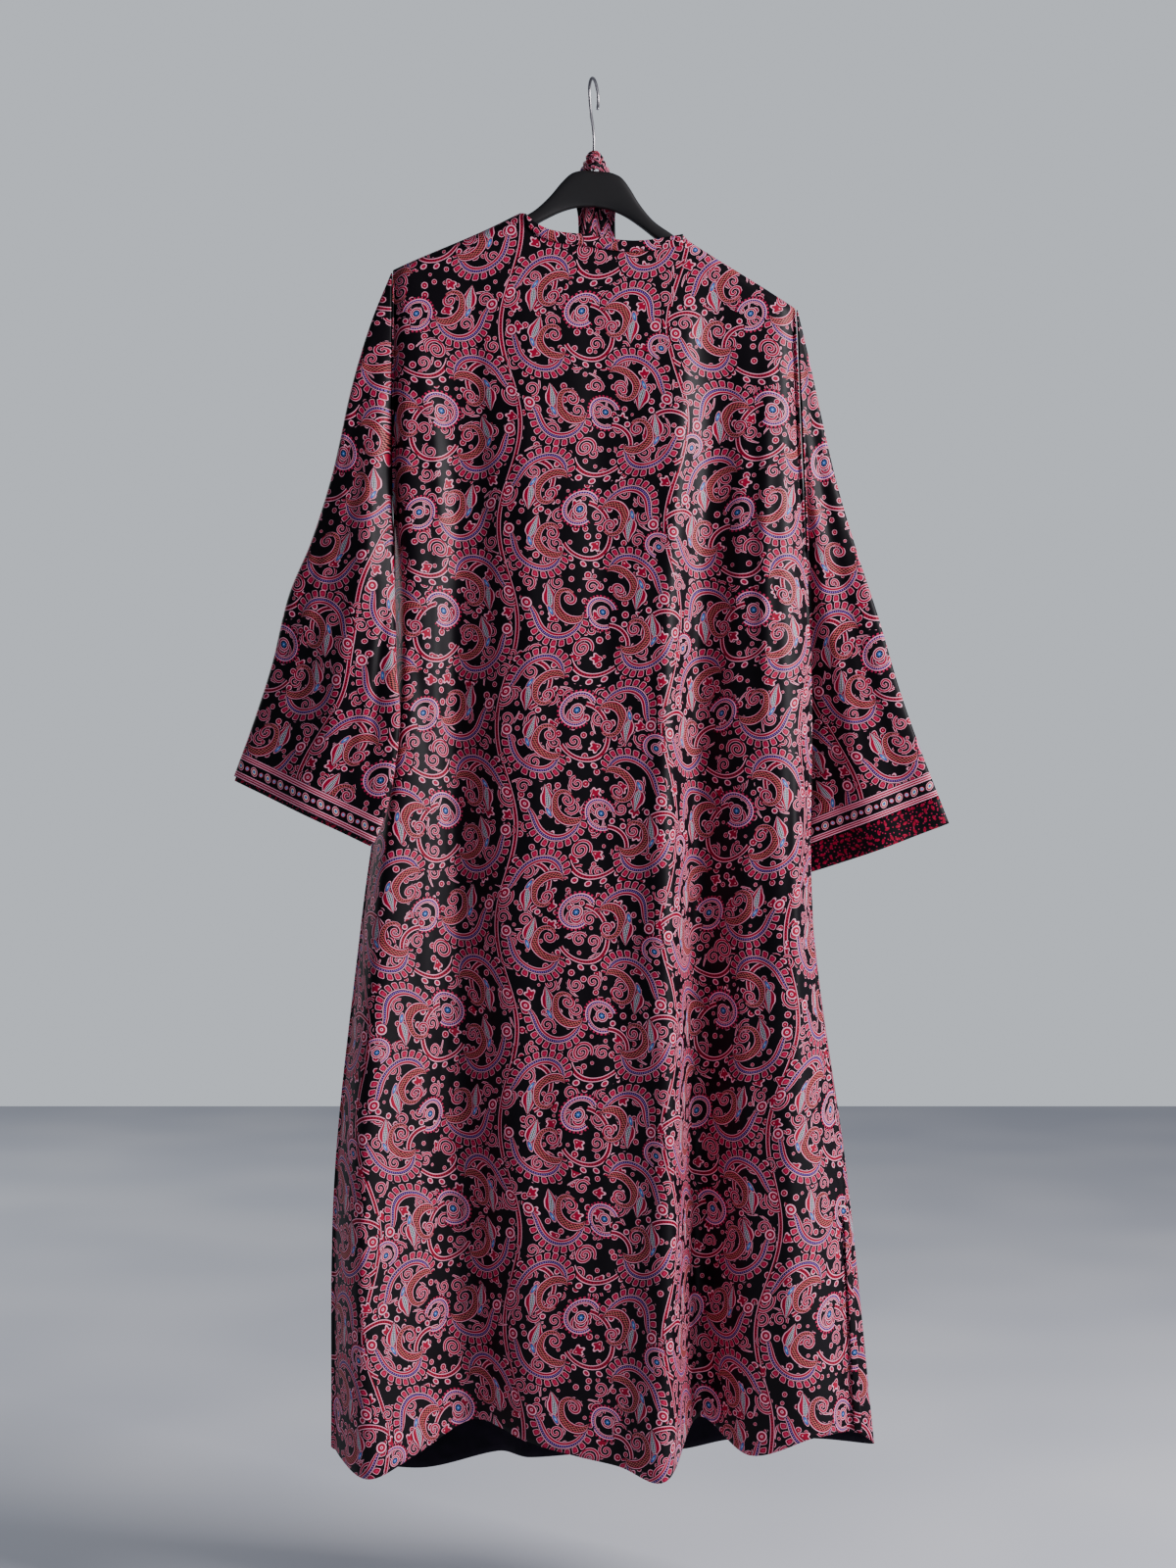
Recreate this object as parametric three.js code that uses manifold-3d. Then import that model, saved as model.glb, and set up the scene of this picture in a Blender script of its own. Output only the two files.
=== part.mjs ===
// A long open-front robe of printed cloth, hung on a contoured hanger with a wire hook.
// Millimetres. +Z is up, -Y is the side of the robe's back and +X is the wearer's right.
// The origin is the inside top of the hook, where a rail carries the hanger.
// Cloth is a wall of even thickness on a middle surface, and pieces that are sewn together
// stand a seam gap apart.

import * as THREE from "three";
import { mergeVertices } from "three/addons/utils/BufferGeometryUtils.js";
import Module from "manifold-3d";

const wasm = await Module();
wasm.setup();

// ---------------------------------------------------------------- driving sizes
const CLOTH = 1.6; // thickness of every cloth wall
const SEAM_GAP = 0.3; // clear distance between two pieces at a seam
const BINDING_WIDTH = 10; // bound edge of the neck and the fronts
const BINDING_CLOTH = 1.2;
const BINDING_CLEAR = 1; // between a panel and the binding on its outside

const HANGER_DEPTH = 12; // front to back, with its rounded edges
const HANGER_EDGE = 3; // rounding of the hanger's edges
const HANGER_TILT = 4.4; // degrees, the wearer's right side hangs lower
const HANGER_NECK = { x: 3, z: -95.8 }; // top of the hanger's middle
const SOCKET_DEPTH = 16; // how far the hook's shank goes into the hanger

const WIRE_RADIUS = 1.6;
const HOOK_INNER_RADIUS = 17;
const HOOK_TURN = 75.5; // degrees that the hook's plane is turned from the shoulder line

const NECK_LEFT = -76; // x of the points where the neck leaves the shoulders
const NECK_RIGHT = 99;
const NECK_STEP = 5; // length over which the neck's edge steps off the hanger's arm
const V_FOOT = -430; // z where the two fronts' neck edges reach the middle
const FRONT_GAP = 14; // between the two fronts at the middle, half each side
const SHOULDER_LIFT = 5; // of the cloth's middle surface over the hanger's arm
const SHOULDER_ROUND = 12; // drop over which the cloth turns down off the hanger's arm

const ARMHOLE_HALF = 8; // half of the armhole's width, front to back
const RING_FLATNESS = 0.6; // power that flattens a sleeve's oval section

// ---------------------------------------------------------------- tables
// Heights at which the folds' places are given.
const LEVELS = { shoulder: -225, chest: -380, waist: -633, hip: -891, knee: -1148, hem: -1437 };
const LEVEL_Z = Object.values(LEVELS);

// One row for each fold line of the body, in order round the robe from the left front's free
// edge. x and y are its place at each level, and hem is the height of its foot.
const LEFT_FRONT = [
  { fold: "free edge", x: [-7, -7, -8, -10, -13, -16], y: [13, 22, 30, 36, 41, 44], hem: -1456 },
  { fold: "ridge", x: [-46, -50, -54, -58, -64, -70], y: [13, 26, 38, 46, 54, 60], hem: -1464 },
  { fold: "valley", x: [-92, -94, -96, -100, -104, -104], y: [12, 20, 25, 28, 30, 30], hem: -1449 },
  { fold: "ridge", x: [-150, -152, -156, -166, -176, -182], y: [11, 20, 30, 42, 54, 64], hem: -1476 },
  { fold: "hollow", x: [-198, -196, -198, -222, -246, -250], y: [10, 14, 18, 24, 32, 40], hem: -1462 },
];
const LEFT_SEAM = { x: [-211, -211, -213, -245, -272, -276], y: [0, 0, 0, 0, 0, 0], hem: -1436 };
const BACK = [
  { fold: "left ridge", x: [-200, -197, -195, -221, -238, -230], y: [-9, -20, -30, -40, -56, -70], hem: -1450 },
  { fold: "left slope", x: [-172, -168, -168, -180, -190, -182], y: [-10, -17, -22, -26, -32, -38], hem: -1432 },
  { fold: "left valley", x: [-140, -141, -145, -143, -140, -124], y: [-10, -11, -5, -2, 2, 4], hem: -1408 },
  { fold: "middle left", x: [-95, -92, -92, -91, -82, -66], y: [-11, -22, -28, -32, -36, -38], hem: -1421 },
  { fold: "middle", x: [-30, -30, -32, -32, -28, -18], y: [-11, -26, -34, -40, -44, -46], hem: -1433 },
  { fold: "middle right", x: [36, 33, 28, 26, 28, 26], y: [-11, -24, -33, -40, -46, -52], hem: -1442 },
  { fold: "right ridge", x: [88, 82, 74, 75, 77, 72], y: [-11, -31, -44, -54, -64, -76], hem: -1451 },
  { fold: "right valley", x: [127, 122, 109, 109, 108, 112], y: [-10, -11, -3, 3, 10, 14], hem: -1408 },
  { fold: "right middle", x: [165, 165, 160, 161, 160, 162], y: [-10, -20, -27, -31, -34, -36], hem: -1435 },
  { fold: "right ridge", x: [196, 198, 201, 206, 216, 228], y: [-9, -21, -31, -38, -44, -48], hem: -1414 },
];
const RIGHT_SEAM = { x: [211, 217, 229, 230, 262, 276], y: [0, 0, 0, 0, 0, 0], hem: -1418 };
const RIGHT_FRONT = [
  { fold: "side", x: [208, 214, 226, 231, 266, 296], y: [6, 9, 10, 12, 10, 12], hem: -1436 },
  { fold: "ridge", x: [180, 180, 188, 200, 222, 246], y: [10, 20, 24, 34, 44, 52], hem: -1442 },
  { fold: "valley", x: [128, 126, 130, 136, 146, 152], y: [12, 22, 28, 32, 36, 38], hem: -1438 },
  { fold: "ridge", x: [70, 72, 76, 82, 88, 92], y: [13, 26, 38, 48, 56, 62], hem: -1456 },
  { fold: "free edge", x: [7, 7, 8, 10, 13, 16], y: [13, 22, 30, 36, 41, 44], hem: -1452 },
];

// The vent at the foot of the right side seam, and how far each panel's edge stands from the
// seam's line at the hem.
const VENT_TOP = -1187;
const VENT_FLARE = { back: [4, -14], front: [-3, -3] };

// The back neck's edge between the two neck points.
const BACK_NECK = {
  x: [-71, -62, -50, -36, -14, 14, 44, 70, 84, 94],
  z: [-146, -153.5, -160, -163.5, -166, -170.5, -173, -170.5, -168, -166],
};

// Sleeve sections from the armhole to the hem, each from the fold on top (outer) to the seam
// under the arm (inner). y is the middle of the section's depth and half is half its depth.
const LEFT_SLEEVE = [
  { outer: [-212.3, 0, -208], inner: [-212.4, 0, -457], half: ARMHOLE_HALF },
  { outer: [-234, -2, -257], inner: [-216.5, -6, -489], half: 12 },
  { outer: [-254, -4, -325], inner: [-217, -14, -530], half: 14 },
  { outer: [-273, -6, -412], inner: [-211, -28, -577], half: 14 },
  { outer: [-295, -8, -484], inner: [-204, -42, -623], half: 13 },
  { outer: [-319, -10, -543], inner: [-200, -50, -662], half: 13 },
  { outer: [-336, -10, -613], inner: [-202, -54, -703], half: 13 },
  { outer: [-354, -10, -670], inner: [-212, -56, -762], half: 13 },
  { outer: [-376, -10, -731], inner: [-226, -56, -800], half: 12 },
];
const RIGHT_SLEEVE = [
  { outer: [213.6, 0, -241.5], inner: [224.8, 0, -493], half: ARMHOLE_HALF },
  { outer: [225, 0, -290], inner: [229, 8, -525], half: 12 },
  { outer: [240, 3, -358], inner: [231, 20, -560], half: 14 },
  { outer: [256, 6, -425], inner: [232, 32, -605], half: 14 },
  { outer: [277, 8, -495], inner: [232, 40, -655], half: 13 },
  { outer: [300, 9, -565], inner: [232, 44, -705], half: 13 },
  { outer: [322, 9, -640], inner: [231, 46, -748], half: 13 },
  { outer: [343, 9, -700], inner: [228, 46, -783], half: 13 },
  { outer: [363, 9, -752], inner: [225, 46, -806], half: 12 },
];
const SLEEVE_FOLD = { depth: 5, waves: 1.5 }; // soft lengthwise folds in a sleeve's wall
const BAND_LENGTH = 31; // band at the end of a sleeve, where it hangs out
const BAND_PEEP = 4.5; // how far the turned-in band shows
const BAND_TURNED = 24; // how far it goes up inside the sleeve
const BAND_CLEAR = 0.7; // between the sleeve and the band inside it

// The sash, from its left end over the hanger's neck to its right end. Each row is a point of
// its middle, the half width, and the turn of its width from level to upright, in degrees.
const SASH = [
  { at: [1, 21, -950], half: 18, turn: 0 },
  { at: [2, 20, -760], half: 18, turn: 0 },
  { at: [1, 19, -560], half: 18, turn: 0 },
  { at: [2, 17, -360], half: 18, turn: 0 },
  { at: [2, 14.5, -230], half: 18, turn: 0 },
  { at: [2, 13.5, -170], half: 18, turn: 0 },
  { at: [0, 13, -136], half: 17, turn: 6 },
  { at: [-7, 11.5, -112], half: 15, turn: 24 },
  { at: [-11, 9.8, -100], half: 12, turn: 44 },
  { at: [-9.5, 6, -87], half: 8, turn: 66 },
  { at: [-7, 0, -87], half: 7.5, turn: 80 },
  { at: [-3.5, -4.6, -85.5], half: 8.5, turn: 88 },
  { at: [0.6, -6.2, -85], half: 9, turn: 90 },
  { at: [4.8, -4.6, -85.6], half: 8.5, turn: 92 },
  { at: [8.4, 0, -87.4], half: 7.5, turn: 100 },
  { at: [11.5, 6, -87.5], half: 8, turn: 114 },
  { at: [14, 9.6, -101], half: 12, turn: 136 },
  { at: [12, 10.2, -113], half: 15, turn: 156 },
  { at: [6, 10.4, -136], half: 17, turn: 174 },
  { at: [5, 10.4, -170], half: 18, turn: 180 },
  { at: [5, 11, -230], half: 18, turn: 180 },
  { at: [4, 12.5, -360], half: 18, turn: 180 },
  { at: [3, 14, -560], half: 18, turn: 180 },
  { at: [4, 15, -760], half: 18, turn: 180 },
  { at: [3, 15.5, -925], half: 18, turn: 180 },
];

// Half of the hanger's outline, from the middle of its top down over the arm and back along
// its underside. x is from its middle and z from its top.
const HANGER_TOP = { x: [0, 18, 27, 36, 46, 60, 84, 188], z: [0, -1, -5, -15, -29, -44.5, -60, -116] };
const HANGER_TIP = { x: [196, 197, 192], z: [-121, -128, -132] };
const HANGER_UNDER = { x: [182, 90, 68, 50, 34, 17, 0], z: [-129, -80, -66.5, -54.5, -45.5, -39.5, -37.5] };

// ---------------------------------------------------------------- curves
const clamp = (v, low, high) => Math.min(high, Math.max(low, v));
const radians = (degrees) => (degrees * Math.PI) / 180;
const smooth = (t) => t * t * (3 - 2 * t);

// Value at s of the smooth curve through (xs, ys), with end values held. Each span is a cubic
// whose slopes are those of the parabolas through neighbouring points.
function through(xs, ys, s) {
  const up = xs[0] < xs[xs.length - 1];
  const at = clamp(s, Math.min(xs[0], xs[xs.length - 1]), Math.max(xs[0], xs[xs.length - 1]));
  let i = 0;
  while (i < xs.length - 2 && (up ? at > xs[i + 1] : at < xs[i + 1])) i += 1;
  const slope = (k) => {
    if (k === 0) return (ys[1] - ys[0]) / (xs[1] - xs[0]);
    if (k === xs.length - 1) return (ys[k] - ys[k - 1]) / (xs[k] - xs[k - 1]);
    const before = xs[k] - xs[k - 1];
    const after = xs[k + 1] - xs[k];
    const rise = ((ys[k] - ys[k - 1]) / before) * after + ((ys[k + 1] - ys[k]) / after) * before;
    return rise / (before + after);
  };
  const h = xs[i + 1] - xs[i];
  const t = (at - xs[i]) / h;
  const u = 1 - t;
  const ends = ys[i] * (1 + 2 * t) * u * u + ys[i + 1] * t * t * (3 - 2 * t);
  return ends + h * (slope(i) * t * u * u - slope(i + 1) * t * t * u);
}

// Place, at height z, of the point a share k of the way through a list of folds.
// The span is a cubic between two folds, with slopes taken through the folds beside them.
function plan(folds, k, z) {
  const last = folds.length - 1;
  const i = clamp(Math.floor(k), 0, last - 1);
  const t = k - i;
  const at = (n) => {
    const f = folds[clamp(n, 0, last)];
    return new THREE.Vector2(through(LEVEL_Z, f.x, z), through(LEVEL_Z, f.y, z));
  };
  const [p0, p1, p2, p3] = [at(i - 1), at(i), at(i + 1), at(i + 2)];
  const root = (a, b) => Math.max(Math.sqrt(a.distanceTo(b)), 0.5);
  const [h0, h1, h2] = [root(p0, p1), root(p1, p2), root(p2, p3)];
  const tangent = (a, b, c, ha, hb) =>
    b.clone().sub(a).multiplyScalar(hb / ha).add(c.clone().sub(b).multiplyScalar(ha / hb))
      .multiplyScalar(h1 / (ha + hb));
  const m1 = i === 0 ? p2.clone().sub(p1) : tangent(p0, p1, p2, h0, h1);
  const m2 = i === last - 1 ? p2.clone().sub(p1) : tangent(p1, p2, p3, h1, h2);
  const u = 1 - t;
  return p1.clone().multiplyScalar((1 + 2 * t) * u * u)
    .add(p2.clone().multiplyScalar(t * t * (3 - 2 * t)))
    .add(m1.multiplyScalar(t * u * u))
    .sub(m2.multiplyScalar(t * t * u));
}

// ---------------------------------------------------------------- solids
// Closed solid from triangles, turned to face outwards.
function solid(positions, triangles) {
  let volume = 0;
  const [a, b, c] = [new THREE.Vector3(), new THREE.Vector3(), new THREE.Vector3()];
  for (const [i, j, k] of triangles) {
    a.fromArray(positions, 3 * i);
    b.fromArray(positions, 3 * j);
    c.fromArray(positions, 3 * k);
    volume += a.dot(b.cross(c));
  }
  const order = volume < 0 ? triangles.map(([i, j, k]) => [i, k, j]) : triangles;
  const geometry = new THREE.BufferGeometry();
  geometry.setAttribute("position", new THREE.Float32BufferAttribute(positions, 3));
  geometry.setIndex(order.flat());
  geometry.computeVertexNormals();
  return geometry;
}

// Unit normals of a grid of points, from its differences both ways.
function normalsOf(grid, closed) {
  const rows = grid.length;
  const columns = grid[0].length;
  const column = (j) => (closed ? (j + columns) % columns : clamp(j, 0, columns - 1));
  return grid.map((row, i) =>
    row.map((_, j) => {
      const along = grid[Math.min(i + 1, rows - 1)][j].clone().sub(grid[Math.max(i - 1, 0)][j]);
      const across = grid[i][column(j + 1)].clone().sub(grid[i][column(j - 1)]);
      return across.cross(along).normalize();
    }),
  );
}

// The grid moved along its normals.
function moved(grid, normals, distance) {
  return grid.map((row, i) =>
    row.map((point, j) => point.clone().addScaledVector(normals[i][j], distance)),
  );
}

// Cloth wall on a grid of points of its middle surface. A closed grid is a tube. Where a point
// is on a seam between front and back, the wall's edge is square to y.
function wall(grid, { closed = false, thickness = CLOTH, onSeam = () => false } = {}) {
  const rows = grid.length;
  const columns = grid[0].length;
  const normals = normalsOf(grid, closed);
  normals.forEach((row, i) => row.forEach((normal, j) => {
    if (onSeam(i, j)) normal.setY(0).normalize();
  }));
  const faces = [moved(grid, normals, thickness / 2), moved(grid, normals, -thickness / 2)];
  const positions = faces.flat(2).flatMap((p) => p.toArray());
  const at = (side, i, j) => side * rows * columns + i * columns + (j % columns);
  const triangles = [];
  const quad = (a, b, c, d) => triangles.push([a, b, c], [a, c, d]);
  const spans = closed ? columns : columns - 1;
  for (let i = 0; i < rows - 1; i += 1)
    for (let j = 0; j < spans; j += 1) {
      quad(at(0, i, j), at(0, i + 1, j), at(0, i + 1, j + 1), at(0, i, j + 1));
      quad(at(1, i, j), at(1, i, j + 1), at(1, i + 1, j + 1), at(1, i + 1, j));
    }
  for (let j = 0; j < spans; j += 1) {
    quad(at(0, 0, j), at(0, 0, j + 1), at(1, 0, j + 1), at(1, 0, j));
    quad(at(0, rows - 1, j), at(1, rows - 1, j), at(1, rows - 1, j + 1), at(0, rows - 1, j + 1));
  }
  if (!closed)
    for (let i = 0; i < rows - 1; i += 1) {
      const e = columns - 1;
      quad(at(0, i, 0), at(1, i, 0), at(1, i + 1, 0), at(0, i + 1, 0));
      quad(at(0, i, e), at(0, i + 1, e), at(1, i + 1, e), at(1, i, e));
    }
  return solid(positions, triangles);
}

// ---------------------------------------------------------------- hanger
// Point of the hanger's own outline, tilted and set in its place.
function hangerPoint(x, z) {
  const turn = radians(HANGER_TILT);
  return new THREE.Vector2(
    HANGER_NECK.x + x * Math.cos(turn) + z * Math.sin(turn),
    HANGER_NECK.z - x * Math.sin(turn) + z * Math.cos(turn),
  );
}

// Height of the top of the hanger at x.
function hangerTop(x) {
  const side = Math.sign(x - HANGER_NECK.x) || 1;
  const points = HANGER_TOP.x.map((u, i) => hangerPoint(side * u, HANGER_TOP.z[i]));
  const last = points.length - 1;
  const slope = (points[last].y - points[last - 1].y) / (points[last].x - points[last - 1].x);
  if (side * (x - points[last].x) > 0) return points[last].y + slope * (x - points[last].x);
  return through(points.map((p) => p.x), points.map((p) => p.y), x);
}

function hangerBody() {
  const half = [HANGER_TOP, HANGER_TIP, HANGER_UNDER]
    .flatMap((part) => part.x.map((x, i) => [x, part.z[i]]));
  const left = half.slice(1, -1).reverse().map(([x, z]) => [-x, z]);
  const inset = HANGER_EDGE; // the bevel grows the outline by as much
  const outline = new THREE.Shape(
    [...half, ...left].map(([x, z]) => {
      const p = hangerPoint(x, z);
      return new THREE.Vector2(p.x, p.y);
    }),
  );
  const body = new THREE.ExtrudeGeometry(outline, {
    depth: HANGER_DEPTH - 2 * inset,
    bevelThickness: inset,
    bevelSize: inset,
    bevelOffset: -inset,
    bevelSegments: 2,
  });
  body.translate(0, 0, -HANGER_DEPTH / 2 + inset);
  body.rotateX(Math.PI / 2);
  const socket = new THREE.CylinderGeometry(WIRE_RADIUS + SEAM_GAP, WIRE_RADIUS + SEAM_GAP,
    2 * SOCKET_DEPTH, 12);
  socket.rotateX(Math.PI / 2);
  socket.translate(0, 0, HANGER_NECK.z);
  return cut(body, socket);
}

// What is left of one closed geometry when another is taken away.
function cut(body, tool) {
  const asSolid = (geometry) => {
    const bare = new THREE.BufferGeometry();
    bare.setAttribute("position", geometry.getAttribute("position"));
    bare.setIndex(geometry.index);
    const merged = mergeVertices(bare, 1e-3);
    return new wasm.Manifold(new wasm.Mesh({
      numProp: 3,
      vertProperties: merged.attributes.position.array,
      triVerts: new Uint32Array(merged.index.array),
    }));
  };
  const left = asSolid(body).subtract(asSolid(tool)).getMesh();
  const geometry = new THREE.BufferGeometry();
  geometry.setAttribute("position", new THREE.BufferAttribute(left.vertProperties, 3));
  geometry.setIndex(new THREE.BufferAttribute(left.triVerts, 1));
  geometry.computeVertexNormals();
  return geometry;
}

// Wire hook: a shank, a bend to one side and three quarters of a ring over the rail.
function hangerHook() {
  const ring = HOOK_INNER_RADIUS + WIRE_RADIUS;
  const turn = radians(HOOK_TURN);
  const at = (u, z) => new THREE.Vector3(u * Math.cos(turn), u * Math.sin(turn), z);
  const foot = HANGER_NECK.z - SOCKET_DEPTH + 2;
  const shank = [at(0, foot), at(0, -80), at(0, -62), at(-4, -50), at(-12.5, -37)];
  const steps = 14;
  const from = radians(-18); // past the ring's widest point, on the shank's side
  const to = radians(180 + 28); // and on the free end's side
  for (let i = 0; i <= steps; i += 1) {
    const a = from + ((to - from) * i) / steps;
    shank.push(at(-ring * Math.cos(a), -HOOK_INNER_RADIUS + ring * Math.sin(a)));
  }
  const section = new THREE.Shape();
  section.absarc(0, 0, WIRE_RADIUS, 0, 2 * Math.PI);
  return new THREE.ExtrudeGeometry(section, {
    steps: 44,
    curveSegments: 5,
    extrudePath: new THREE.CatmullRomCurve3(shank, false, "centripetal"),
  });
}

// ---------------------------------------------------------------- body of the robe
const LEFT_ARM = { top: LEFT_SLEEVE[0].outer[2], under: LEFT_SLEEVE[0].inner[2] };
const RIGHT_ARM = { top: RIGHT_SLEEVE[0].outer[2], under: RIGHT_SLEEVE[0].inner[2] };

// Half width, front to back, of an armhole at height z: the sleeve's first section.
function armholeHalf(arm, z) {
  const c = clamp((arm.top - z) / (arm.top - arm.under), 0, 1);
  return ARMHOLE_HALF * Math.pow(Math.max(1 - (2 * c - 1) ** 2, 0), RING_FLATNESS / 2);
}

// Height of the cloth's top edge over the hanger's arm.
function shoulderTop(x) {
  return hangerTop(x) + SHOULDER_LIFT;
}

// 0 on the shoulders and 1 in the neck, with a short step between.
function inNeck(x) {
  return smooth(clamp((Math.min(x - NECK_LEFT, NECK_RIGHT - x) + 0.05) / NECK_STEP, 0, 1));
}

function backTop(x) {
  if (x <= NECK_LEFT || x >= NECK_RIGHT) return shoulderTop(x);
  return inNeck(x) < 1 ? shoulderTop(x) : through(BACK_NECK.x, BACK_NECK.z, x);
}

// Top edge of a front: the shoulder, then the neck's slant to the middle.
function frontTop(x) {
  const neck = x < 0 ? NECK_LEFT : NECK_RIGHT;
  const inward = Math.sign(-neck) * (x - neck);
  if (inward <= NECK_STEP) return shoulderTop(x);
  const start = neck + Math.sign(-neck) * NECK_STEP;
  const share = clamp((x - start) / ((Math.sign(neck) * FRONT_GAP) / 2 - start), 0, 1);
  return shoulderTop(start) + (V_FOOT - shoulderTop(start)) * Math.pow(share, 0.92);
}

// Share k of the way through the folds at which their curve at height z(x) passes x.
function shareAt(folds, x, z) {
  let [low, high] = [0, folds.length - 1];
  const rising = plan(folds, high, z).x > plan(folds, low, z).x;
  for (let i = 0; i < 30; i += 1) {
    const middle = (low + high) / 2;
    if (plan(folds, middle, z).x < x === rising) low = middle;
    else high = middle;
  }
  return (low + high) / 2;
}

// Grid of a body panel. folds are its fold lines, spans the columns between them, top its
// upper edge as a function of x, breaks the x of that edge's corners, side the sign of y on
// its outside, arms the armholes at its first and last fold, or null at a free edge, and flare
// how far its right side edge stands out at the vent.
function panel({ folds, spans, top, breaks, side, arms, rows, flare = [0, 0] }) {
  const last = folds.length - 1;
  const corners = breaks.map((x) => shareAt(folds, x, top(x)));
  const even = [0];
  spans.forEach((n, i) => {
    for (let j = 1; j <= n; j += 1) even.push(i + j / n);
  });
  const stations = even
    .filter((k) => k === 0 || k === last || corners.every((c) => Math.abs(c - k) > 0.14))
    .concat(corners)
    .sort((a, b) => a - b);
  const feet = folds.map((f) => f.hem);
  const index = folds.map((_, i) => i);
  const columns = stations.map((k) => {
    let high = top(plan(folds, k, LEVEL_Z[0]).x);
    for (let i = 0; i < 4; i += 1) high = top(plan(folds, k, high).x);
    const low = through(index, feet, k);
    return { k, high, low };
  });
  const drops = [0, 1.2, 4, SHOULDER_ROUND];
  const grid = Array.from({ length: rows }, (_, i) =>
    columns.map(({ k, high, low }) => {
      const rest = (i - drops.length + 1) / (rows - drops.length);
      const drop = i < drops.length ? drops[i]
        : SHOULDER_ROUND + (high - low - SHOULDER_ROUND) * rest;
      const z = high - drop;
      const p = plan(folds, k, z);
      const arm = k === 0 ? arms[0] : k === last ? arms[1] : null;
      if (arm) {
        const open = arm === RIGHT_ARM ? clamp((VENT_TOP - z) / (VENT_TOP - LEVELS.hem), 0, 1) : 0;
        const half = z > arm.under ? armholeHalf(arm, z) : 0;
        p.x += flare[0] * open;
        p.y = side * Math.max(half, SEAM_GAP / 2) + flare[1] * open;
      }
      const turn = Math.sqrt(1 - (1 - Math.min(drop / SHOULDER_ROUND, 1)) ** 2);
      const free = inNeck(p.x);
      const y = side * SEAM_GAP / 2 * (1 - free) * (1 - turn) + p.y * (free + (1 - free) * turn);
      return new THREE.Vector3(p.x, y, z);
    }),
  );
  const onSeam = (i, j) =>
    (j === 0 && arms[0] !== null) || (j === stations.length - 1 && arms[1] !== null)
      || (i === 0 && inNeck(grid[0][j].x) === 0);
  return { grid, onSeam };
}

const back = panel({
  folds: [LEFT_SEAM, ...BACK, RIGHT_SEAM],
  spans: [4, 3, 3, 3, 3, 3, 4, 4, 3, 3, 4],
  top: backTop,
  breaks: [NECK_LEFT, NECK_LEFT + NECK_STEP, NECK_RIGHT - NECK_STEP, NECK_RIGHT],
  side: -1,
  arms: [LEFT_ARM, RIGHT_ARM],
  flare: VENT_FLARE.back,
  rows: 24,
});
const leftFront = panel({
  folds: [...LEFT_FRONT, LEFT_SEAM],
  spans: [4, 4, 3, 3, 4],
  top: frontTop,
  breaks: [NECK_LEFT + NECK_STEP, NECK_LEFT],
  side: 1,
  arms: [null, LEFT_ARM],
  rows: 20,
});
const rightFront = panel({
  folds: [RIGHT_SEAM, ...RIGHT_FRONT],
  spans: [4, 3, 3, 4, 5],
  top: frontTop,
  breaks: [NECK_RIGHT, NECK_RIGHT - NECK_STEP],
  side: 1,
  arms: [RIGHT_ARM, null],
  flare: VENT_FLARE.front,
  rows: 20,
});

// ---------------------------------------------------------------- bindings
// Points of a strip on a panel's outside, from points on the panel.
function onOutside(rows, side) {
  const normals = normalsOf(rows, false);
  const lift = CLOTH / 2 + BINDING_CLOTH / 2 + BINDING_CLEAR;
  return moved(rows, normals, Math.sign(side * normals[0][0].y) * lift);
}

// Strip along the back neck, between the two shoulders.
function backBinding() {
  const rows = back.grid[0]
    .map((edge, j) => [edge, back.grid[3][j]])
    .filter(([edge]) => inNeck(edge.x) === 1)
    .map(([edge, below]) => [edge, edge.clone().lerp(below, BINDING_WIDTH / SHOULDER_ROUND)]);
  return onOutside(rows, -1);
}

// Points of a panel's grid at height z, from its first column to its last.
function sectionAt(grid, z) {
  const cross = (a, b) => a.clone().lerp(b, (a.z - z) / (a.z - b.z));
  const points = [];
  grid[0].forEach((head, j) => {
    const i = grid.findIndex((row, n) => n > 0 && row[j].z <= z);
    if (head.z >= z && i > 0) points.push(cross(grid[i - 1][j], grid[i][j]));
    const next = grid[0][j + 1];
    if (next && (head.z - z) * (next.z - z) < 0) points.push(cross(head, next));
  });
  return points;
}

// Strip down the neck's slant and the free edge of a front, to its hem. The free edge is the
// panel's first column on the left and its last on the right.
function frontBinding(grid, isLeft) {
  const neck = isLeft ? NECK_LEFT + NECK_STEP : NECK_RIGHT - NECK_STEP;
  const top = shoulderTop(neck) - 1.5 * SHOULDER_ROUND;
  const foot = (isLeft ? grid.at(-1)[0] : grid.at(-1).at(-1)).z + 1;
  const spaced = (from, to, count) =>
    Array.from({ length: count }, (_, i) => from + ((to - from) * i) / count);
  const levels = [...spaced(top, V_FOOT, 8), ...spaced(V_FOOT, foot, 14), foot];
  const rows = levels.map((z) => {
    const section = sectionAt(grid, z);
    const path = new THREE.CurvePath();
    if (!isLeft) section.reverse();
    section.slice(1, 4).forEach((p, i) => path.add(new THREE.LineCurve3(section[i], p)));
    return [0, 0.5, 1].map((t) => path.getPointAt((BINDING_WIDTH * t) / path.getLength()));
  });
  return onOutside(rows, 1);
}

// ---------------------------------------------------------------- sleeves
const lerp3 = (a, b, t) => new THREE.Vector3(...a).lerp(new THREE.Vector3(...b), t);

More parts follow.
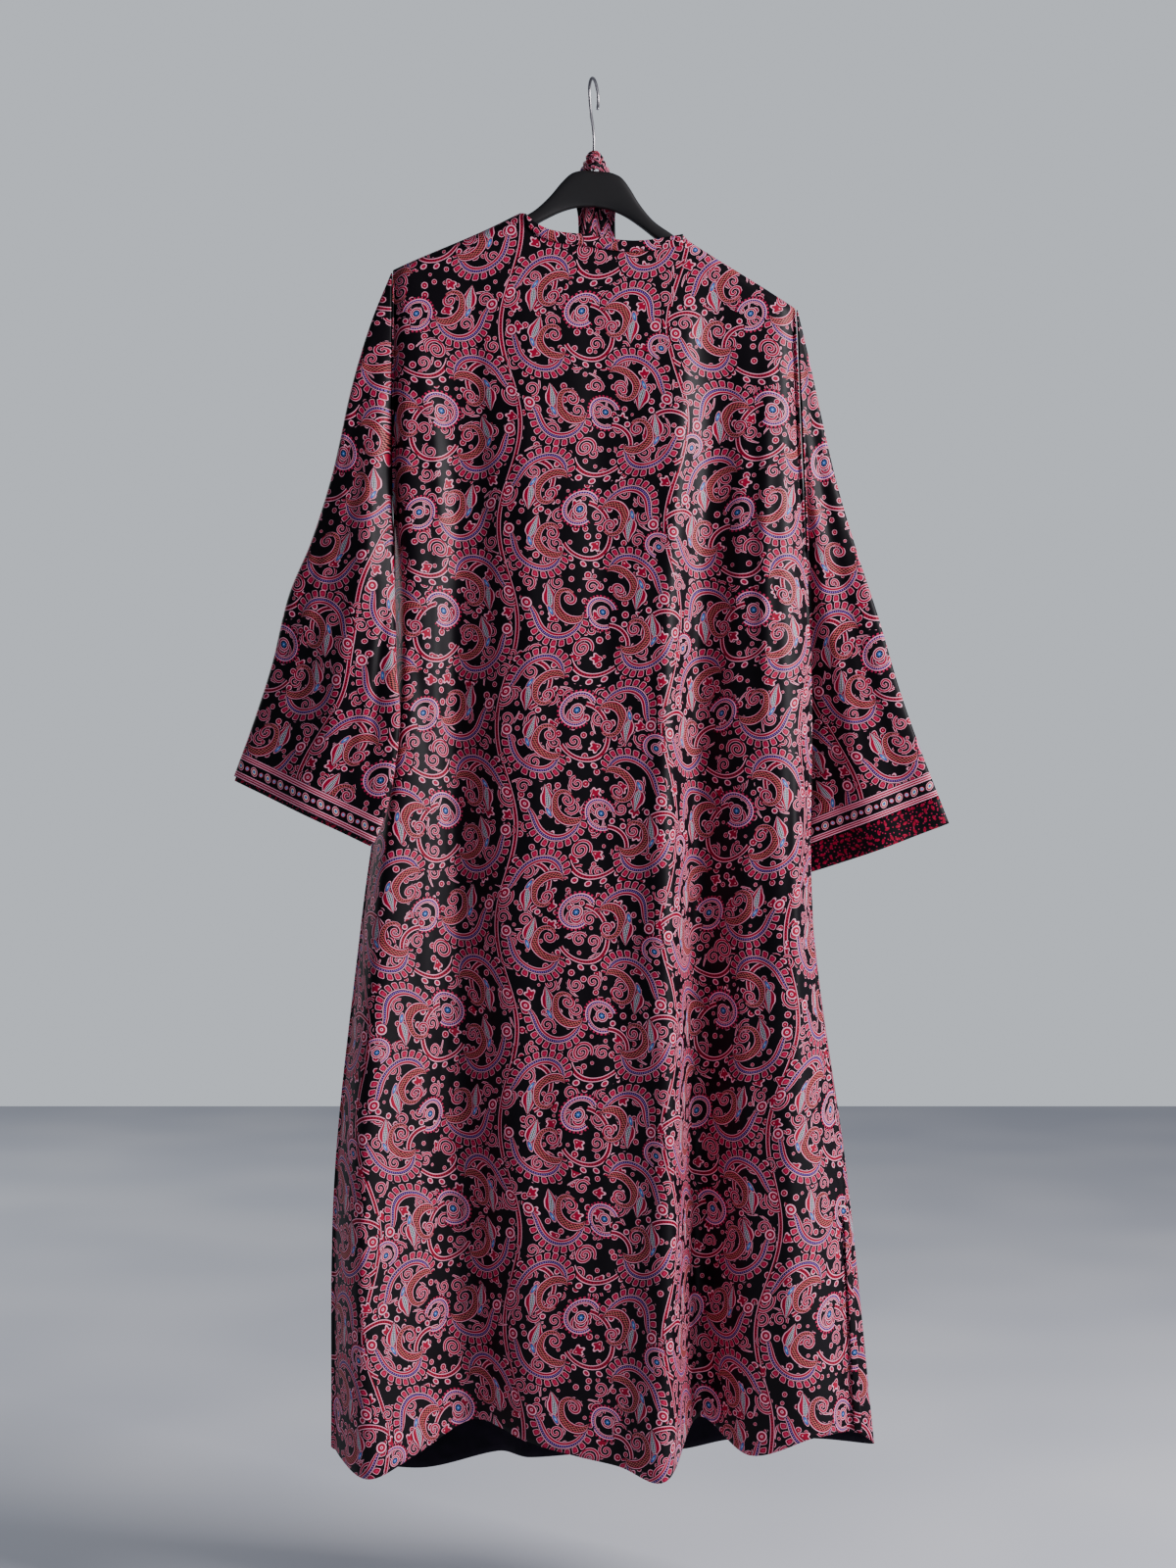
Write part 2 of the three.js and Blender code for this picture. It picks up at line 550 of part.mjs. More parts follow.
// Section of a sleeve a share s of the way along its table, as a ring of points.
function sleeveRing(table, s, points) {
  const index = table.map((_, i) => i);
  const k = s * (table.length - 1);
  const value = (pick) => through(index, table.map(pick), k);
  const outer = [0, 1, 2].map((n) => value((row) => row.outer[n]));
  const inner = [0, 1, 2].map((n) => value((row) => row.inner[n]));
  const half = value((row) => row.half);
  return Array.from({ length: points }, (_, i) => {
    const a = (2 * Math.PI * i) / points;
    const c = (1 - Math.cos(a)) / 2;
    const p = lerp3(outer, inner, c);
    const bulge = Math.sign(Math.sin(a)) * Math.pow(Math.abs(Math.sin(a)), RING_FLATNESS);
    const fold = SLEEVE_FOLD.depth * smooth(clamp(s / 0.3, 0, 1)) * Math.sin(Math.PI * c)
      * Math.sin(2 * Math.PI * SLEEVE_FOLD.waves * c);
    p.y += half * bulge + fold;
    return p;
  });
}

function sleeveGrid(table, rows, points) {
  return Array.from({ length: rows }, (_, i) => sleeveRing(table, i / (rows - 1), points));
}

// Band that goes on below the sleeve's end, in line with its wall.
function hangingBand(table, points) {
  const end = sleeveRing(table, 1, points);
  const before = sleeveRing(table, 0.9, points);
  return [SEAM_GAP, BAND_LENGTH / 2, BAND_LENGTH].map((reach) =>
    end.map((p, i) => {
      const along = p.clone().sub(before[i]);
      along.y = 0;
      return p.clone().addScaledVector(along.normalize(), reach);
    }),
  );
}

// Band turned up inside the sleeve's end, with its edge showing below: the sleeve's own points
// moved in.
function turnedBand(table, points) {
  const spans = table.length - 1;
  const length = lerp3(table[spans - 1].outer, table[spans].outer, 0)
    .distanceTo(lerp3(table[spans - 1].outer, table[spans].outer, 1));
  const up = sleeveRing(table, 1 - BAND_TURNED / length / spans, points);
  const end = sleeveRing(table, 1, points);
  const peep = end.map((p, i) => {
    const along = p.clone().sub(up[i]);
    along.y = 0;
    return p.clone().addScaledVector(along.normalize(), BAND_PEEP);
  });
  const rings = [up, end, peep];
  return moved(rings, normalsOf(rings, true), -sleeveSide(rings) * (CLOTH + BAND_CLEAR));
}

// 1 where a ring's normals point out of it and -1 where they point in.
function sleeveSide(rings) {
  const centre = rings[0].reduce((sum, p) => sum.add(p), new THREE.Vector3())
    .divideScalar(rings[0].length);
  const normal = normalsOf(rings, true)[0][0];
  return Math.sign(normal.dot(rings[0][0].clone().sub(centre)));
}

// ---------------------------------------------------------------- sash
function sashGrid() {
  return SASH.map(({ at, half, turn }) => {
    const width = new THREE.Vector3(Math.cos(radians(turn)), 0, Math.sin(radians(turn)));
    return [-1, 0, 1].map((side) => new THREE.Vector3(...at).addScaledVector(width, side * half));
  });
}

// ---------------------------------------------------------------- assembly
const finish = (color, roughness, metalness = 0) =>
  new THREE.MeshStandardMaterial({ color, roughness, metalness });
const PRINT = finish(0x5a1a2c, 0.75);
const BAND = finish(0x3a0f1c, 0.8);
const PLASTIC = finish(0x1c1b1d, 0.55);
const STEEL = finish(0x6f6b70, 0.35, 1);

const robe = new THREE.Group();
function add(name, geometry, material) {
  const mesh = new THREE.Mesh(geometry, material);
  mesh.name = name;
  robe.add(mesh);
}

const RING_POINTS = 20;
const SLEEVE_ROWS = 13;
const tube = { closed: true };
const bound = { thickness: BINDING_CLOTH };
add("hanger_body", hangerBody(), PLASTIC);
add("hanger_hook", hangerHook(), STEEL);
add("back_panel", wall(back.grid, back), PRINT);
add("front_left", wall(leftFront.grid, leftFront), PRINT);
add("front_right", wall(rightFront.grid, rightFront), PRINT);
add("sleeve_left", wall(sleeveGrid(LEFT_SLEEVE, SLEEVE_ROWS, RING_POINTS), tube), PRINT);
add("sleeve_right", wall(sleeveGrid(RIGHT_SLEEVE, SLEEVE_ROWS, RING_POINTS), tube), PRINT);
add("cuff_band_left", wall(turnedBand(LEFT_SLEEVE, RING_POINTS), tube), BAND);
add("cuff_band_right", wall(hangingBand(RIGHT_SLEEVE, RING_POINTS), tube), BAND);
add("neck_binding", wall(backBinding(), bound), PRINT);
add("front_binding_left", wall(frontBinding(leftFront.grid, true), bound), PRINT);
add("front_binding_right", wall(frontBinding(rightFront.grid, false), bound), PRINT);
add("sash", wall(sashGrid()), PRINT);

export default robe;
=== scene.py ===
"""A long open-front robe of printed cloth, hung on a contoured hanger with a wire hook.

Lengths in the tables are millimetres, in the frame's own axes: +Z up, -Y the side of the
robe's back, +X the wearer's right, with the origin at the inside top of the hook.
"""
from __future__ import annotations

import logging
import math
from dataclasses import dataclass
from enum import Enum
from typing import Callable, NamedTuple, Sequence

import bpy
import numpy as np
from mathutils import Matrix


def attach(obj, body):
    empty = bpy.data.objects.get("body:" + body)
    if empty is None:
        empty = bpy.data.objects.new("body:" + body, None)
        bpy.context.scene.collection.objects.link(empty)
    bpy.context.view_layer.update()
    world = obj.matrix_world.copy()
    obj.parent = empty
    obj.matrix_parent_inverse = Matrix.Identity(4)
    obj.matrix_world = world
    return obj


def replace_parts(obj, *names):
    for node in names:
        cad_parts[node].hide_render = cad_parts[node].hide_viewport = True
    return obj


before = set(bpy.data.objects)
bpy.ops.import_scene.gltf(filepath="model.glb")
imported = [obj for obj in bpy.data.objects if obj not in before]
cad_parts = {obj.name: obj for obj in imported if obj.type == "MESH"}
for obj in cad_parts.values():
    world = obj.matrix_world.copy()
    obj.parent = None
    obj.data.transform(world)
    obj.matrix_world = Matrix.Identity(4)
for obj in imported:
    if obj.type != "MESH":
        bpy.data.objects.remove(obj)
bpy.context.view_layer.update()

LOG = logging.getLogger("robe")
MM = 0.001
Array = np.ndarray

# ------------------------------------------------------------------ folds and sections
LEVELS = (-225.0, -380.0, -633.0, -891.0, -1148.0, -1437.0)


class Fold(NamedTuple):
    """One fold line of the robe's body: its place at each of LEVELS and its foot's height."""

    x: tuple[float, ...]
    y: tuple[float, ...]
    hem: float


LEFT_FRONT = (
    Fold((-7, -7, -8, -10, -13, -16), (13, 22, 30, 36, 41, 44), -1456),
    Fold((-46, -50, -54, -58, -64, -70), (13, 26, 38, 46, 54, 60), -1464),
    Fold((-92, -94, -96, -100, -104, -104), (12, 20, 25, 28, 30, 30), -1449),
    Fold((-150, -152, -156, -166, -176, -182), (11, 20, 30, 42, 54, 64), -1476),
    Fold((-198, -196, -198, -222, -246, -250), (10, 14, 18, 24, 32, 40), -1462),
)
LEFT_SEAM = Fold((-211, -211, -213, -245, -272, -276), (0, 0, 0, 0, 0, 0), -1436)
BACK = (
    Fold((-200, -197, -195, -221, -238, -230), (-9, -20, -30, -40, -56, -70), -1450),
    Fold((-172, -168, -168, -180, -190, -182), (-10, -17, -22, -26, -32, -38), -1432),
    Fold((-140, -141, -145, -143, -140, -124), (-10, -11, -5, -2, 2, 4), -1408),
    Fold((-95, -92, -92, -91, -82, -66), (-11, -22, -28, -32, -36, -38), -1421),
    Fold((-30, -30, -32, -32, -28, -18), (-11, -26, -34, -40, -44, -46), -1433),
    Fold((36, 33, 28, 26, 28, 26), (-11, -24, -33, -40, -46, -52), -1442),
    Fold((88, 82, 74, 75, 77, 72), (-11, -31, -44, -54, -64, -76), -1451),
    Fold((127, 122, 109, 109, 108, 112), (-10, -11, -3, 3, 10, 14), -1408),
    Fold((165, 165, 160, 161, 160, 162), (-10, -20, -27, -31, -34, -36), -1435),
    Fold((196, 198, 201, 206, 216, 228), (-9, -21, -31, -38, -44, -48), -1414),
)
RIGHT_SEAM = Fold((211, 217, 229, 230, 262, 276), (0, 0, 0, 0, 0, 0), -1418)
RIGHT_FRONT = (
    Fold((208, 214, 226, 231, 266, 296), (6, 9, 10, 12, 10, 12), -1436),
    Fold((180, 180, 188, 200, 222, 246), (10, 20, 24, 34, 44, 52), -1442),
    Fold((128, 126, 130, 136, 146, 152), (12, 22, 28, 32, 36, 38), -1438),
    Fold((70, 72, 76, 82, 88, 92), (13, 26, 38, 48, 56, 62), -1456),
    Fold((7, 7, 8, 10, 13, 16), (13, 22, 30, 36, 41, 44), -1452),
)
VENT_TOP = -1187.0
VENT_BACK = (4.0, -14.0)
VENT_FRONT = (-3.0, -3.0)

NECK_LEFT, NECK_RIGHT, NECK_STEP = -76.0, 99.0, 5.0
BACK_NECK_X = (-71, -62, -50, -36, -14, 14, 44, 70, 84, 94)
BACK_NECK_Z = (-146, -153.5, -160, -163.5, -166, -170.5, -173, -170.5, -168, -166)
V_FOOT, V_BEND = -430.0, 0.92
FRONT_GAP = 14.0
SHOULDER_LIFT = 5.0
SHOULDER_ROUND = 12.0
# How far below the upper edge the creases start, and over what drop they reach their height.
CREASE_START, CREASE_EASE = 10.0, 40.0
# Drops of the first rows under the upper edge.
SHOULDER_ROWS = (0.0, 0.4, 1.2, 2.4, 4.2, 6.5, 9.0, SHOULDER_ROUND)
# In shares k: half a corner's width, and how far from it no other column lies.
CORNER_HALF, CORNER_CLEAR = 0.002, 0.012
SEAM_GAP = 0.3
# How far from a side seam the armhole's curve has a say, as a share of a span between folds.
SEAM_REACH = 0.25
ARMHOLE_HALF = 8.0
RING_FLATNESS = 0.6

# Sleeve sections: outer x, y, z, inner x, y, z, half depth.
LEFT_SLEEVE = (
    (-212.3, 0, -202.5, -212.4, 0, -457, ARMHOLE_HALF),
    (-234, -2, -257, -209.5, -10, -489, 10),
    (-254, -4, -325, -208, -18, -530, 12),
    (-273, -6, -412, -206, -30, -577, 14),
    (-295, -8, -484, -204, -42, -623, 13),
    (-319, -10, -543, -200, -50, -662, 13),
    (-336, -10, -613, -202, -54, -703, 13),
    (-354, -10, -670, -212, -56, -762, 13),
    (-376, -10, -731, -226, -56, -800, 12),
)
RIGHT_SLEEVE = (
    (213.6, 0, -241.5, 224.8, 0, -493, ARMHOLE_HALF),
    (225, 0, -290, 223.5, 13, -525, 10),
    (240, 3, -358, 225, 22, -560, 12),
    (256, 6, -425, 227, 33, -605, 14),
    (277, 8, -495, 229, 41, -655, 13),
    (300, 9, -565, 232, 44, -705, 13),
    (322, 9, -640, 231, 46, -748, 13),
    (343, 9, -700, 228, 46, -783, 13),
    (363, 9, -752, 225, 46, -806, 12),
)
# Depth of the folds along a sleeve, and how many waves they make across it.
SLEEVE_FOLD = (5.0, 1.5)
BAND_LENGTH, BAND_WAVE = 31.0, 1.2
BAND_PEEP, BAND_TURNED, BAND_INSET = 4.5, 24.0, 2.3
# Depth of the sash's pleats where it hangs free, what gathering adds, and the waves across it.
PLEAT_DEPTH, PLEAT_GROWTH, PLEAT_WAVES = 0.5, 1.5, 1.25
# Near the hanger's tips: one more point of its top and one of its underside, and the rounding.
TIP_TOP, TIP_UNDER, TIP_ROUND = (195.0, -120.6), (193.5, -131.4), 12.0

HANGER_NECK = (3.0, -95.8)
HANGER_TILT = math.radians(4.4)
HANGER_HALF_DEPTH = 6.0
HANGER_TOP = ((0, 18, 27, 36, 46, 60, 84, 188), (0, -1, -5, -15, -29, -44.5, -60, -116))
HANGER_TIP = (197.0, -126.0)
HANGER_UNDER = ((182, 90, 68, 50, 34, 17, 0), (-129, -80, -66.5, -54.5, -45.5, -39.5, -37.5))

HOOK_INNER_RADIUS = 17.0
WIRE_RADIUS = 1.6
HOOK_TURN = math.radians(75.5)

# The sash: x, y, z of its middle, half width, turn of its width from level in degrees.
SASH = (
    (1, 21, -950, 18, 0), (2, 20, -760, 18, 0), (1, 19, -560, 18, 0), (2, 17, -360, 18, 0),
    (2, 14.5, -230, 18, 0), (2, 13.5, -170, 18, 0), (0, 13, -136, 17, 6),
    (-7, 11.5, -112, 15, 24), (-11, 9.8, -100, 12, 44), (-9.5, 6, -87, 8, 66),
    (-7, 0, -87, 7.5, 80), (-3.5, -4.6, -85.5, 8.5, 88), (0.6, -6.2, -85, 9, 90),
    (4.8, -4.6, -85.6, 8.5, 92), (8.4, 0, -87.4, 7.5, 100), (11.5, 6, -87.5, 8, 114),
    (14, 9.6, -101, 12, 136), (12, 10.2, -113, 15, 156), (6, 10.4, -136, 17, 174),
    (5, 10.4, -170, 18, 180), (5, 11, -230, 18, 180), (4, 12.5, -360, 18, 180),
    (3, 14, -560, 18, 180), (4, 15, -760, 18, 180), (3, 15.5, -925, 18, 180),
)

# ------------------------------------------------------------------ curves
def smooth(t: Array) -> Array:
    """Ease from 0 to 1 as 3t^2 - 2t^3, held outside that range."""
    t = np.clip(t, 0.0, 1.0)
    return t * t * (3.0 - 2.0 * t)


def unit(vectors: Array) -> Array:
    """The vectors of the last axis, each of length 1."""
    return vectors / np.linalg.norm(vectors, axis=-1, keepdims=True)


def hermite(a: Array, b: Array, rise_a: Array, rise_b: Array, t: Array) -> Array:
    """Cubic from a to b as t goes from 0 to 1, with the slopes rise_a and rise_b at its ends."""
    u = 1.0 - t
    return a * (1 + 2 * t) * u * u + b * t * t * (3 - 2 * t) + rise_a * t * u * u - rise_b * t * t * u


def through(xs: Sequence[float], ys: Sequence[float], s: Array) -> Array:
    """Value at s of the cubic curve through points, held past its ends.

    The slope at a point is that of the parabola through it and its two neighbours.

    Args:
        xs: places of the points, rising or falling.
        ys: values at the points.
        s: places to read, of any shape.

    Returns:
        The values, in the shape of s.
    """
    x, y = np.asarray(xs, float), np.asarray(ys, float)
    if x[0] > x[-1]:
        x, y = x[::-1], y[::-1]
    s = np.clip(s, x[0], x[-1])
    h = np.diff(x)
    rise = np.diff(y) / h
    inner = (rise[:-1] * h[1:] + rise[1:] * h[:-1]) / (h[:-1] + h[1:])
    slope = np.concatenate([rise[:1], inner, rise[-1:]])
    i = np.clip(np.searchsorted(x, s, side="right") - 1, 0, len(h) - 1)
    return hermite(y[i], y[i + 1], h[i] * slope[i], h[i] * slope[i + 1], (s - x[i]) / h[i])


def spaced(points: Array) -> Array:
    """Places along a curve for its points, each a square root of their distance on from the last."""
    step = np.sqrt(np.linalg.norm(np.diff(points, axis=0), axis=1))
    return np.concatenate([[0], np.cumsum(step)])


def plan(folds: Sequence[Fold], k: Array, z: Array) -> tuple[Array, Array]:
    """Place, at height z, of the point a share k of the way through the folds.

    Each span between two folds is a cubic whose end slopes are weighted by the square roots
    of the distances to the folds beside them.

    Args:
        folds: the fold lines in order.
        k: shares, from 0 at the first fold, in rows and columns.
        z: heights, in the same shape.

    Returns:
        x and y, in that shape.
    """
    last = len(folds) - 1
    lines = np.stack([
        np.stack([through(LEVELS, f.x, z), through(LEVELS, f.y, z)], axis=-1) for f in folds
    ])
    i = np.clip(np.floor(k).astype(int), 0, last - 1)

    def line(step: int) -> Array:
        """Points of the fold that lies a number of steps on from k's own."""
        number = np.clip(i + step, 0, last)[None, ..., None]
        return np.take_along_axis(lines, np.broadcast_to(number, (1, *z.shape, 2)), axis=0)[0]

    def span(a: Array, b: Array) -> Array:
        """Square root of a distance."""
        return np.maximum(np.sqrt(np.linalg.norm(b - a, axis=-1)), 0.5)[..., None]

    p0, p1, p2, p3 = (line(n) for n in (-1, 0, 1, 2))
    h0, h1, h2 = span(p0, p1), span(p1, p2), span(p2, p3)
    chord = p2 - p1
    m1 = ((p1 - p0) * (h1 / h0) + chord * (h0 / h1)) * (h1 / (h0 + h1))
    m2 = (chord * (h2 / h1) + (p3 - p2) * (h1 / h2)) * (h1 / (h1 + h2))
    m1 = np.where((i == 0)[..., None], chord, m1)
    m2 = np.where((i == last - 1)[..., None], chord, m2)
    p = hermite(p1, p2, m1, m2, (k - i)[..., None])
    return p[..., 0], p[..., 1]


def hanger_place(x: Array, z: Array) -> tuple[Array, Array]:
    """Turn a point of the hanger's own outline by its tilt and set it at the hanger's neck."""
    c, s = math.cos(HANGER_TILT), math.sin(HANGER_TILT)
    return HANGER_NECK[0] + x * c + z * s, HANGER_NECK[1] - x * s + z * c


def shoulder_top(x: Array) -> Array:
    """Height of the cloth's middle surface over the hanger's arm at x."""
    out = np.empty(np.shape(x))
    for side in (-1.0, 1.0):
        px, pz = hanger_place(side * np.array(HANGER_TOP[0], float), np.array(HANGER_TOP[1], float))
        slope = (pz[-1] - pz[-2]) / (px[-1] - px[-2])
        beyond = np.maximum(side * (x - px[-1]), 0.0) * side
        here = side * (np.asarray(x) - HANGER_NECK[0]) >= 0
        out = np.where(here, through(px, pz, x) + slope * beyond, out)
    return out + SHOULDER_LIFT


def in_neck(x: Array) -> Array:
    """0 on the shoulders and 1 in the neck, with a short step between."""
    return smooth((np.minimum(x - NECK_LEFT, NECK_RIGHT - x) + 0.05) / NECK_STEP)


def back_top(x: Array) -> Array:
    """Upper edge of the back: the shoulders with the scooped neck between them."""
    step = in_neck(x) ** 2
    return shoulder_top(x) * (1 - step) + through(BACK_NECK_X, BACK_NECK_Z, x) * step


def front_top(x: Array) -> Array:
    """Upper edge of a front: the shoulder, then the neck's slant to the middle."""
    neck = np.where(x < 0, NECK_LEFT, NECK_RIGHT)
    toward = -np.sign(neck)
    start = neck + toward * NECK_STEP
    high = shoulder_top(start)
    share = np.clip((x - start) / (np.sign(neck) * FRONT_GAP / 2 - start), 0, 1)
    slant = high + (V_FOOT - high) * share ** V_BEND
    return np.where(toward * (x - neck) <= NECK_STEP, shoulder_top(x), slant)


# ------------------------------------------------------------------ creases
class Crease(NamedTuple):
    """A soft ridge, or a trough where depth is negative, along a line in the front view."""

    x0: float
    z0: float
    x1: float
    z1: float
    width: float
    depth: float


def crease_lift(creases: Sequence[Crease], x: Array, z: Array) -> Array:
    """Sum of the creases' heights.

    Each is depth * exp(-(d / width)^2), with d the distance to its swaying line, and fades
    towards its ends as sin of the place along it.
    """
    lift = np.zeros(np.shape(x))
    for c in creases:
        dx, dz = c.x1 - c.x0, c.z1 - c.z0
        length = math.hypot(dx, dz)
        along = ((x - c.x0) * dx + (z - c.z0) * dz) / length ** 2
        sway = 0.0175 * length * np.sin(2.2 * along + c.x0)
        across = ((x - c.x0) * dz - (z - c.z0) * dx) / length + sway
        fade = np.sin(np.pi * np.clip(along, 0, 1)) ** 0.7
        lift = lift + c.depth * np.exp(-((across / c.width) ** 2)) * fade
    return lift


BACK_CREASES = tuple(Crease(*row) for row in (
    (-152, -600, -150, -1200, 6, 2.6), (97, -540, 104, -1200, 6, 3.0),
    (196, -620, 214, -1100, 6, 2.4), (-236, -1080, -232, -1425, 6, 2.6),
    (-188, -260, -150, -560, 9, 3.0), (-120, -215, -118, -700, 10, -2.6),
    (-64, -230, -70, -860, 13, 2.6), (-6, -200, 2, -640, 15, -2.2), (58, -230, 50, -980, 11, -3.0),
    (104, -240, 92, -560, 8, 2.4), (146, -300, 138, -820, 9, 2.8), (186, -290, 182, -720, 8, 4.0),
    (172, -700, 176, -1180, 12, -2.6), (-46, -820, -40, -1400, 14, -3.0),
    (6, -900, 6, -1420, 12, 2.6), (52, -980, 46, -1410, 10, -2.8),
    (-212, -960, -214, -1420, 10, -3.4), (-160, -760, -168, -1300, 9, 2.4),
    (190, -1000, 206, -1400, 10, 3.4), (140, -1040, 138, -1400, 9, -3.0),
    (-196, -470, -172, -760, 8, -2.4), (-104, -1100, -96, -1420, 9, 3.2),
    (-150, -190, -60, -330, 16, -1.6), (150, -215, 80, -330, 15, -1.6),
    (202, -520, 196, -900, 7, -2.0), (20, -420, 24, -900, 12, 1.8),
))
LEFT_FRONT_CREASES = tuple(Crease(*row) for row in (
    (-120, -240, -118, -760, 11, 2.8), (-70, -420, -72, -1000, 12, -2.6),
    (-30, -520, -34, -1380, 9, 2.4), (-172, -330, -176, -900, 9, 3.2),
    (-136, -800, -142, -1430, 12, -3.2), (-206, -900, -216, -1420, 10, 3.2),
    (-88, -980, -86, -1430, 9, 2.8), (-60, -1050, -64, -1430, 8, -2.4),
))
RIGHT_FRONT_CREASES = tuple(Crease(*row) for row in (
    (100, -250, 100, -820, 11, 2.8), (48, -420, 52, -1040, 12, -2.6), (28, -600, 30, -1400, 9, 2.4),
    (156, -330, 162, -900, 9, 3.2), (118, -800, 122, -1430, 12, -3.0),
    (200, -900, 212, -1420, 10, -3.2), (176, -980, 186, -1430, 9, 2.8),
    (70, -1050, 76, -1430, 8, -2.4),
))
LEFT_SLEEVE_CREASES = tuple(Crease(*row) for row in (
    (-222, -270, -300, -560, 7, -2.2), (-238, -330, -340, -700, 8, 2.6),
    (-222, -420, -300, -740, 8, -2.6), (-214, -480, -256, -780, 7, 2.8),
    (-214, -540, -232, -700, 6, -2.2), (-300, -520, -352, -700, 8, -2.0),
))
RIGHT_SLEEVE_CREASES = tuple(Crease(*row) for row in (
    (222, -300, 300, -600, 7, -2.2), (236, -360, 330, -720, 8, 2.6),
    (226, -440, 292, -760, 8, -2.6), (228, -500, 254, -790, 7, 2.8),
    (230, -560, 238, -720, 6, -2.2), (296, -560, 346, -730, 8, -2.0),
))

# ------------------------------------------------------------------ grids and meshes
@dataclass
class Grid:
    """A grid of points in millimetres with the cloth's own coordinates, u across and v along.

    A closed one is joined round its rows. Reach is each point's distance from the lower edge.
    """

    points: Array
    u: Array
    v: Array
    closed: bool = False
    reach: Array | None = None
    flipped: bool | None = None

    def normals(self) -> Array:
        """Unit normals, from the cross product of the differences along both directions."""
        if self.closed:
            across = np.roll(self.points, -1, axis=1) - np.roll(self.points, 1, axis=1)
        else:
            across = np.gradient(self.points, axis=1)
        n = np.cross(across, np.gradient(self.points, axis=0))
        return n / np.maximum(np.linalg.norm(n, axis=-1, keepdims=True), 1e-9)

    def inside_out(self) -> bool:
        """Whether the cells face inwards: as stated, or towards the middles of their rows."""
        if self.flipped is not None:
            return self.flipped
        out = self.points - self.points.mean(axis=1, keepdims=True)
        return float(np.sum(self.normals() * out)) < 0

    def area(self) -> float:
        """Area in square metres, as the sum of the cells' cross products."""
        p = np.concatenate([self.points, self.points[:, :1]], axis=1) if self.closed else self.points
        cells = np.cross(p[1:, 1:] - p[:-1, :-1], p[1:, :-1] - p[:-1, 1:])
        return float(np.linalg.norm(cells, axis=-1).sum() / 2) * MM * MM


def lengths(points: Array, axis: int) -> Array:
    """Length of the polyline through points up to each of them, along an axis."""
    step = np.linalg.norm(np.diff(points, axis=axis), axis=-1)
    start = np.zeros_like(np.take(step, [0], axis=axis))
    return np.concatenate([start, np.cumsum(step, axis=axis)], axis=axis)


def linked(name: str, data: bpy.types.ID) -> bpy.types.Object:
    """A new object in the scene, at the origin, with its data."""
    obj = bpy.data.objects.new(name, data)
    bpy.context.scene.collection.objects.link(obj)
    return obj


def mesh_object(name: str, verts: Array, faces: list[list[int]], uv: Array | None = None
                ) -> bpy.types.Object:
    """Smooth mesh object.

    Args:
        name: the piece's name.
        verts: points in millimetres, one a row.
        faces: vertex numbers of each face.
        uv: cloth coordinates in millimetres, one row for each face corner.

    Returns:
        The linked object.
    """
    mesh = bpy.data.meshes.new(name)
    mesh.from_pydata((verts * MM).tolist(), [], faces)
    if uv is not None:
        mesh.uv_layers.new(name="cloth").data.foreach_set("uv", (uv * MM).astype(np.float32).ravel())
    mesh.validate()
    mesh.polygons.foreach_set("use_smooth", np.ones(len(mesh.polygons), dtype=bool))
    return linked(name, mesh)


def cells(rows: int, columns: int, closed: bool) -> tuple[Array, Array, Array]:
    """Row, column and next column of each cell of a grid."""
    last = columns if closed else columns - 1
    i, j = np.meshgrid(np.arange(rows - 1), np.arange(last), indexing="ij")
    return i.ravel(), j.ravel(), (j.ravel() + 1) % columns


def grid_object(name: str, grid: Grid) -> bpy.types.Object:
    """Sheet object of a grid, with its cloth coordinates as the UV map.

    In a closed grid the last cell's u goes on past the seam.
    """
    rows, columns = grid.u.shape
    i, j, jn = cells(rows, columns, grid.closed)
    corners = [(i, j), (i, jn), (i + 1, jn), (i + 1, j)]
    if grid.inside_out():
        corners.reverse()
    around = np.linalg.norm(grid.points[:, 0] - grid.points[:, -1], axis=-1)
    uv = np.empty((len(i), 4, 2))
    for n, (a, b) in enumerate(corners):
        past = (b == jn) & (jn == 0)
        uv[:, n, 0] = np.where(past, grid.u[a, -1] + around[a], grid.u[a, b])
        uv[:, n, 1] = grid.v[a, b]
    faces = np.stack([a * columns + b for a, b in corners], axis=-1)
    obj = mesh_object(name, grid.points.reshape(-1, 3), faces.tolist(), uv)
    if grid.reach is not None:
        layer = obj.data.attributes.new("reach", "FLOAT", "POINT")
        layer.data.foreach_set("value", (grid.reach * MM).astype(np.float32).ravel())
    return obj


def thicken(obj: bpy.types.Object, thickness: float) -> None:
    """Give a sheet a wall, centred on it, whose inner side takes the second material."""
    wall = obj.modifiers.new("wall", "SOLIDIFY")
    wall.thickness = thickness * MM
    wall.offset = 0.0
    wall.use_even_offset = False
    wall.material_offset = 1
    wall.use_rim = True


def lofted_object(name: str, rings: Array, low: Array, high: Array) -> bpy.types.Object:
    """Closed body through rings of points, ended by one point on each side."""
    rows, sides = rings.shape[:2]
    i, j, jn = cells(rows, sides, True)
    body = np.stack([i * sides + j, i * sides + jn, (i + 1) * sides + jn, (i + 1) * sides + j], -1)
    a = np.arange(sides)
    b = (a + 1) % sides
    top, low_tip = (rows - 1) * sides, rows * sides
    caps = np.concatenate([np.stack([b, a, np.full(sides, low_tip)], -1),
                           np.stack([top + a, top + b, np.full(sides, low_tip + 1)], -1)])
    verts = np.concatenate([rings.reshape(-1, 3), low[None], high[None]])
    return mesh_object(name, verts, body.tolist() + caps.tolist())


def tube_rings(path: Array, radius: float, sides: int) -> Array:
    """Rings of a round tube along a path, each turned as little as can be from the last."""
    tangent = unit(np.gradient(path, axis=0))
    first = np.empty_like(path)
    guide = np.array([0.0, 1.0, 0.2])
    for n, t in enumerate(tangent):
        guide = unit(guide - t * guide.dot(t))
        first[n] = guide
    second = np.cross(tangent, first)
    angle = np.linspace(0, 2 * np.pi, sides, endpoint=False)[None, :, None]
    return path[:, None] + radius * (np.cos(angle) * first[:, None] + np.sin(angle) * second[:, None])


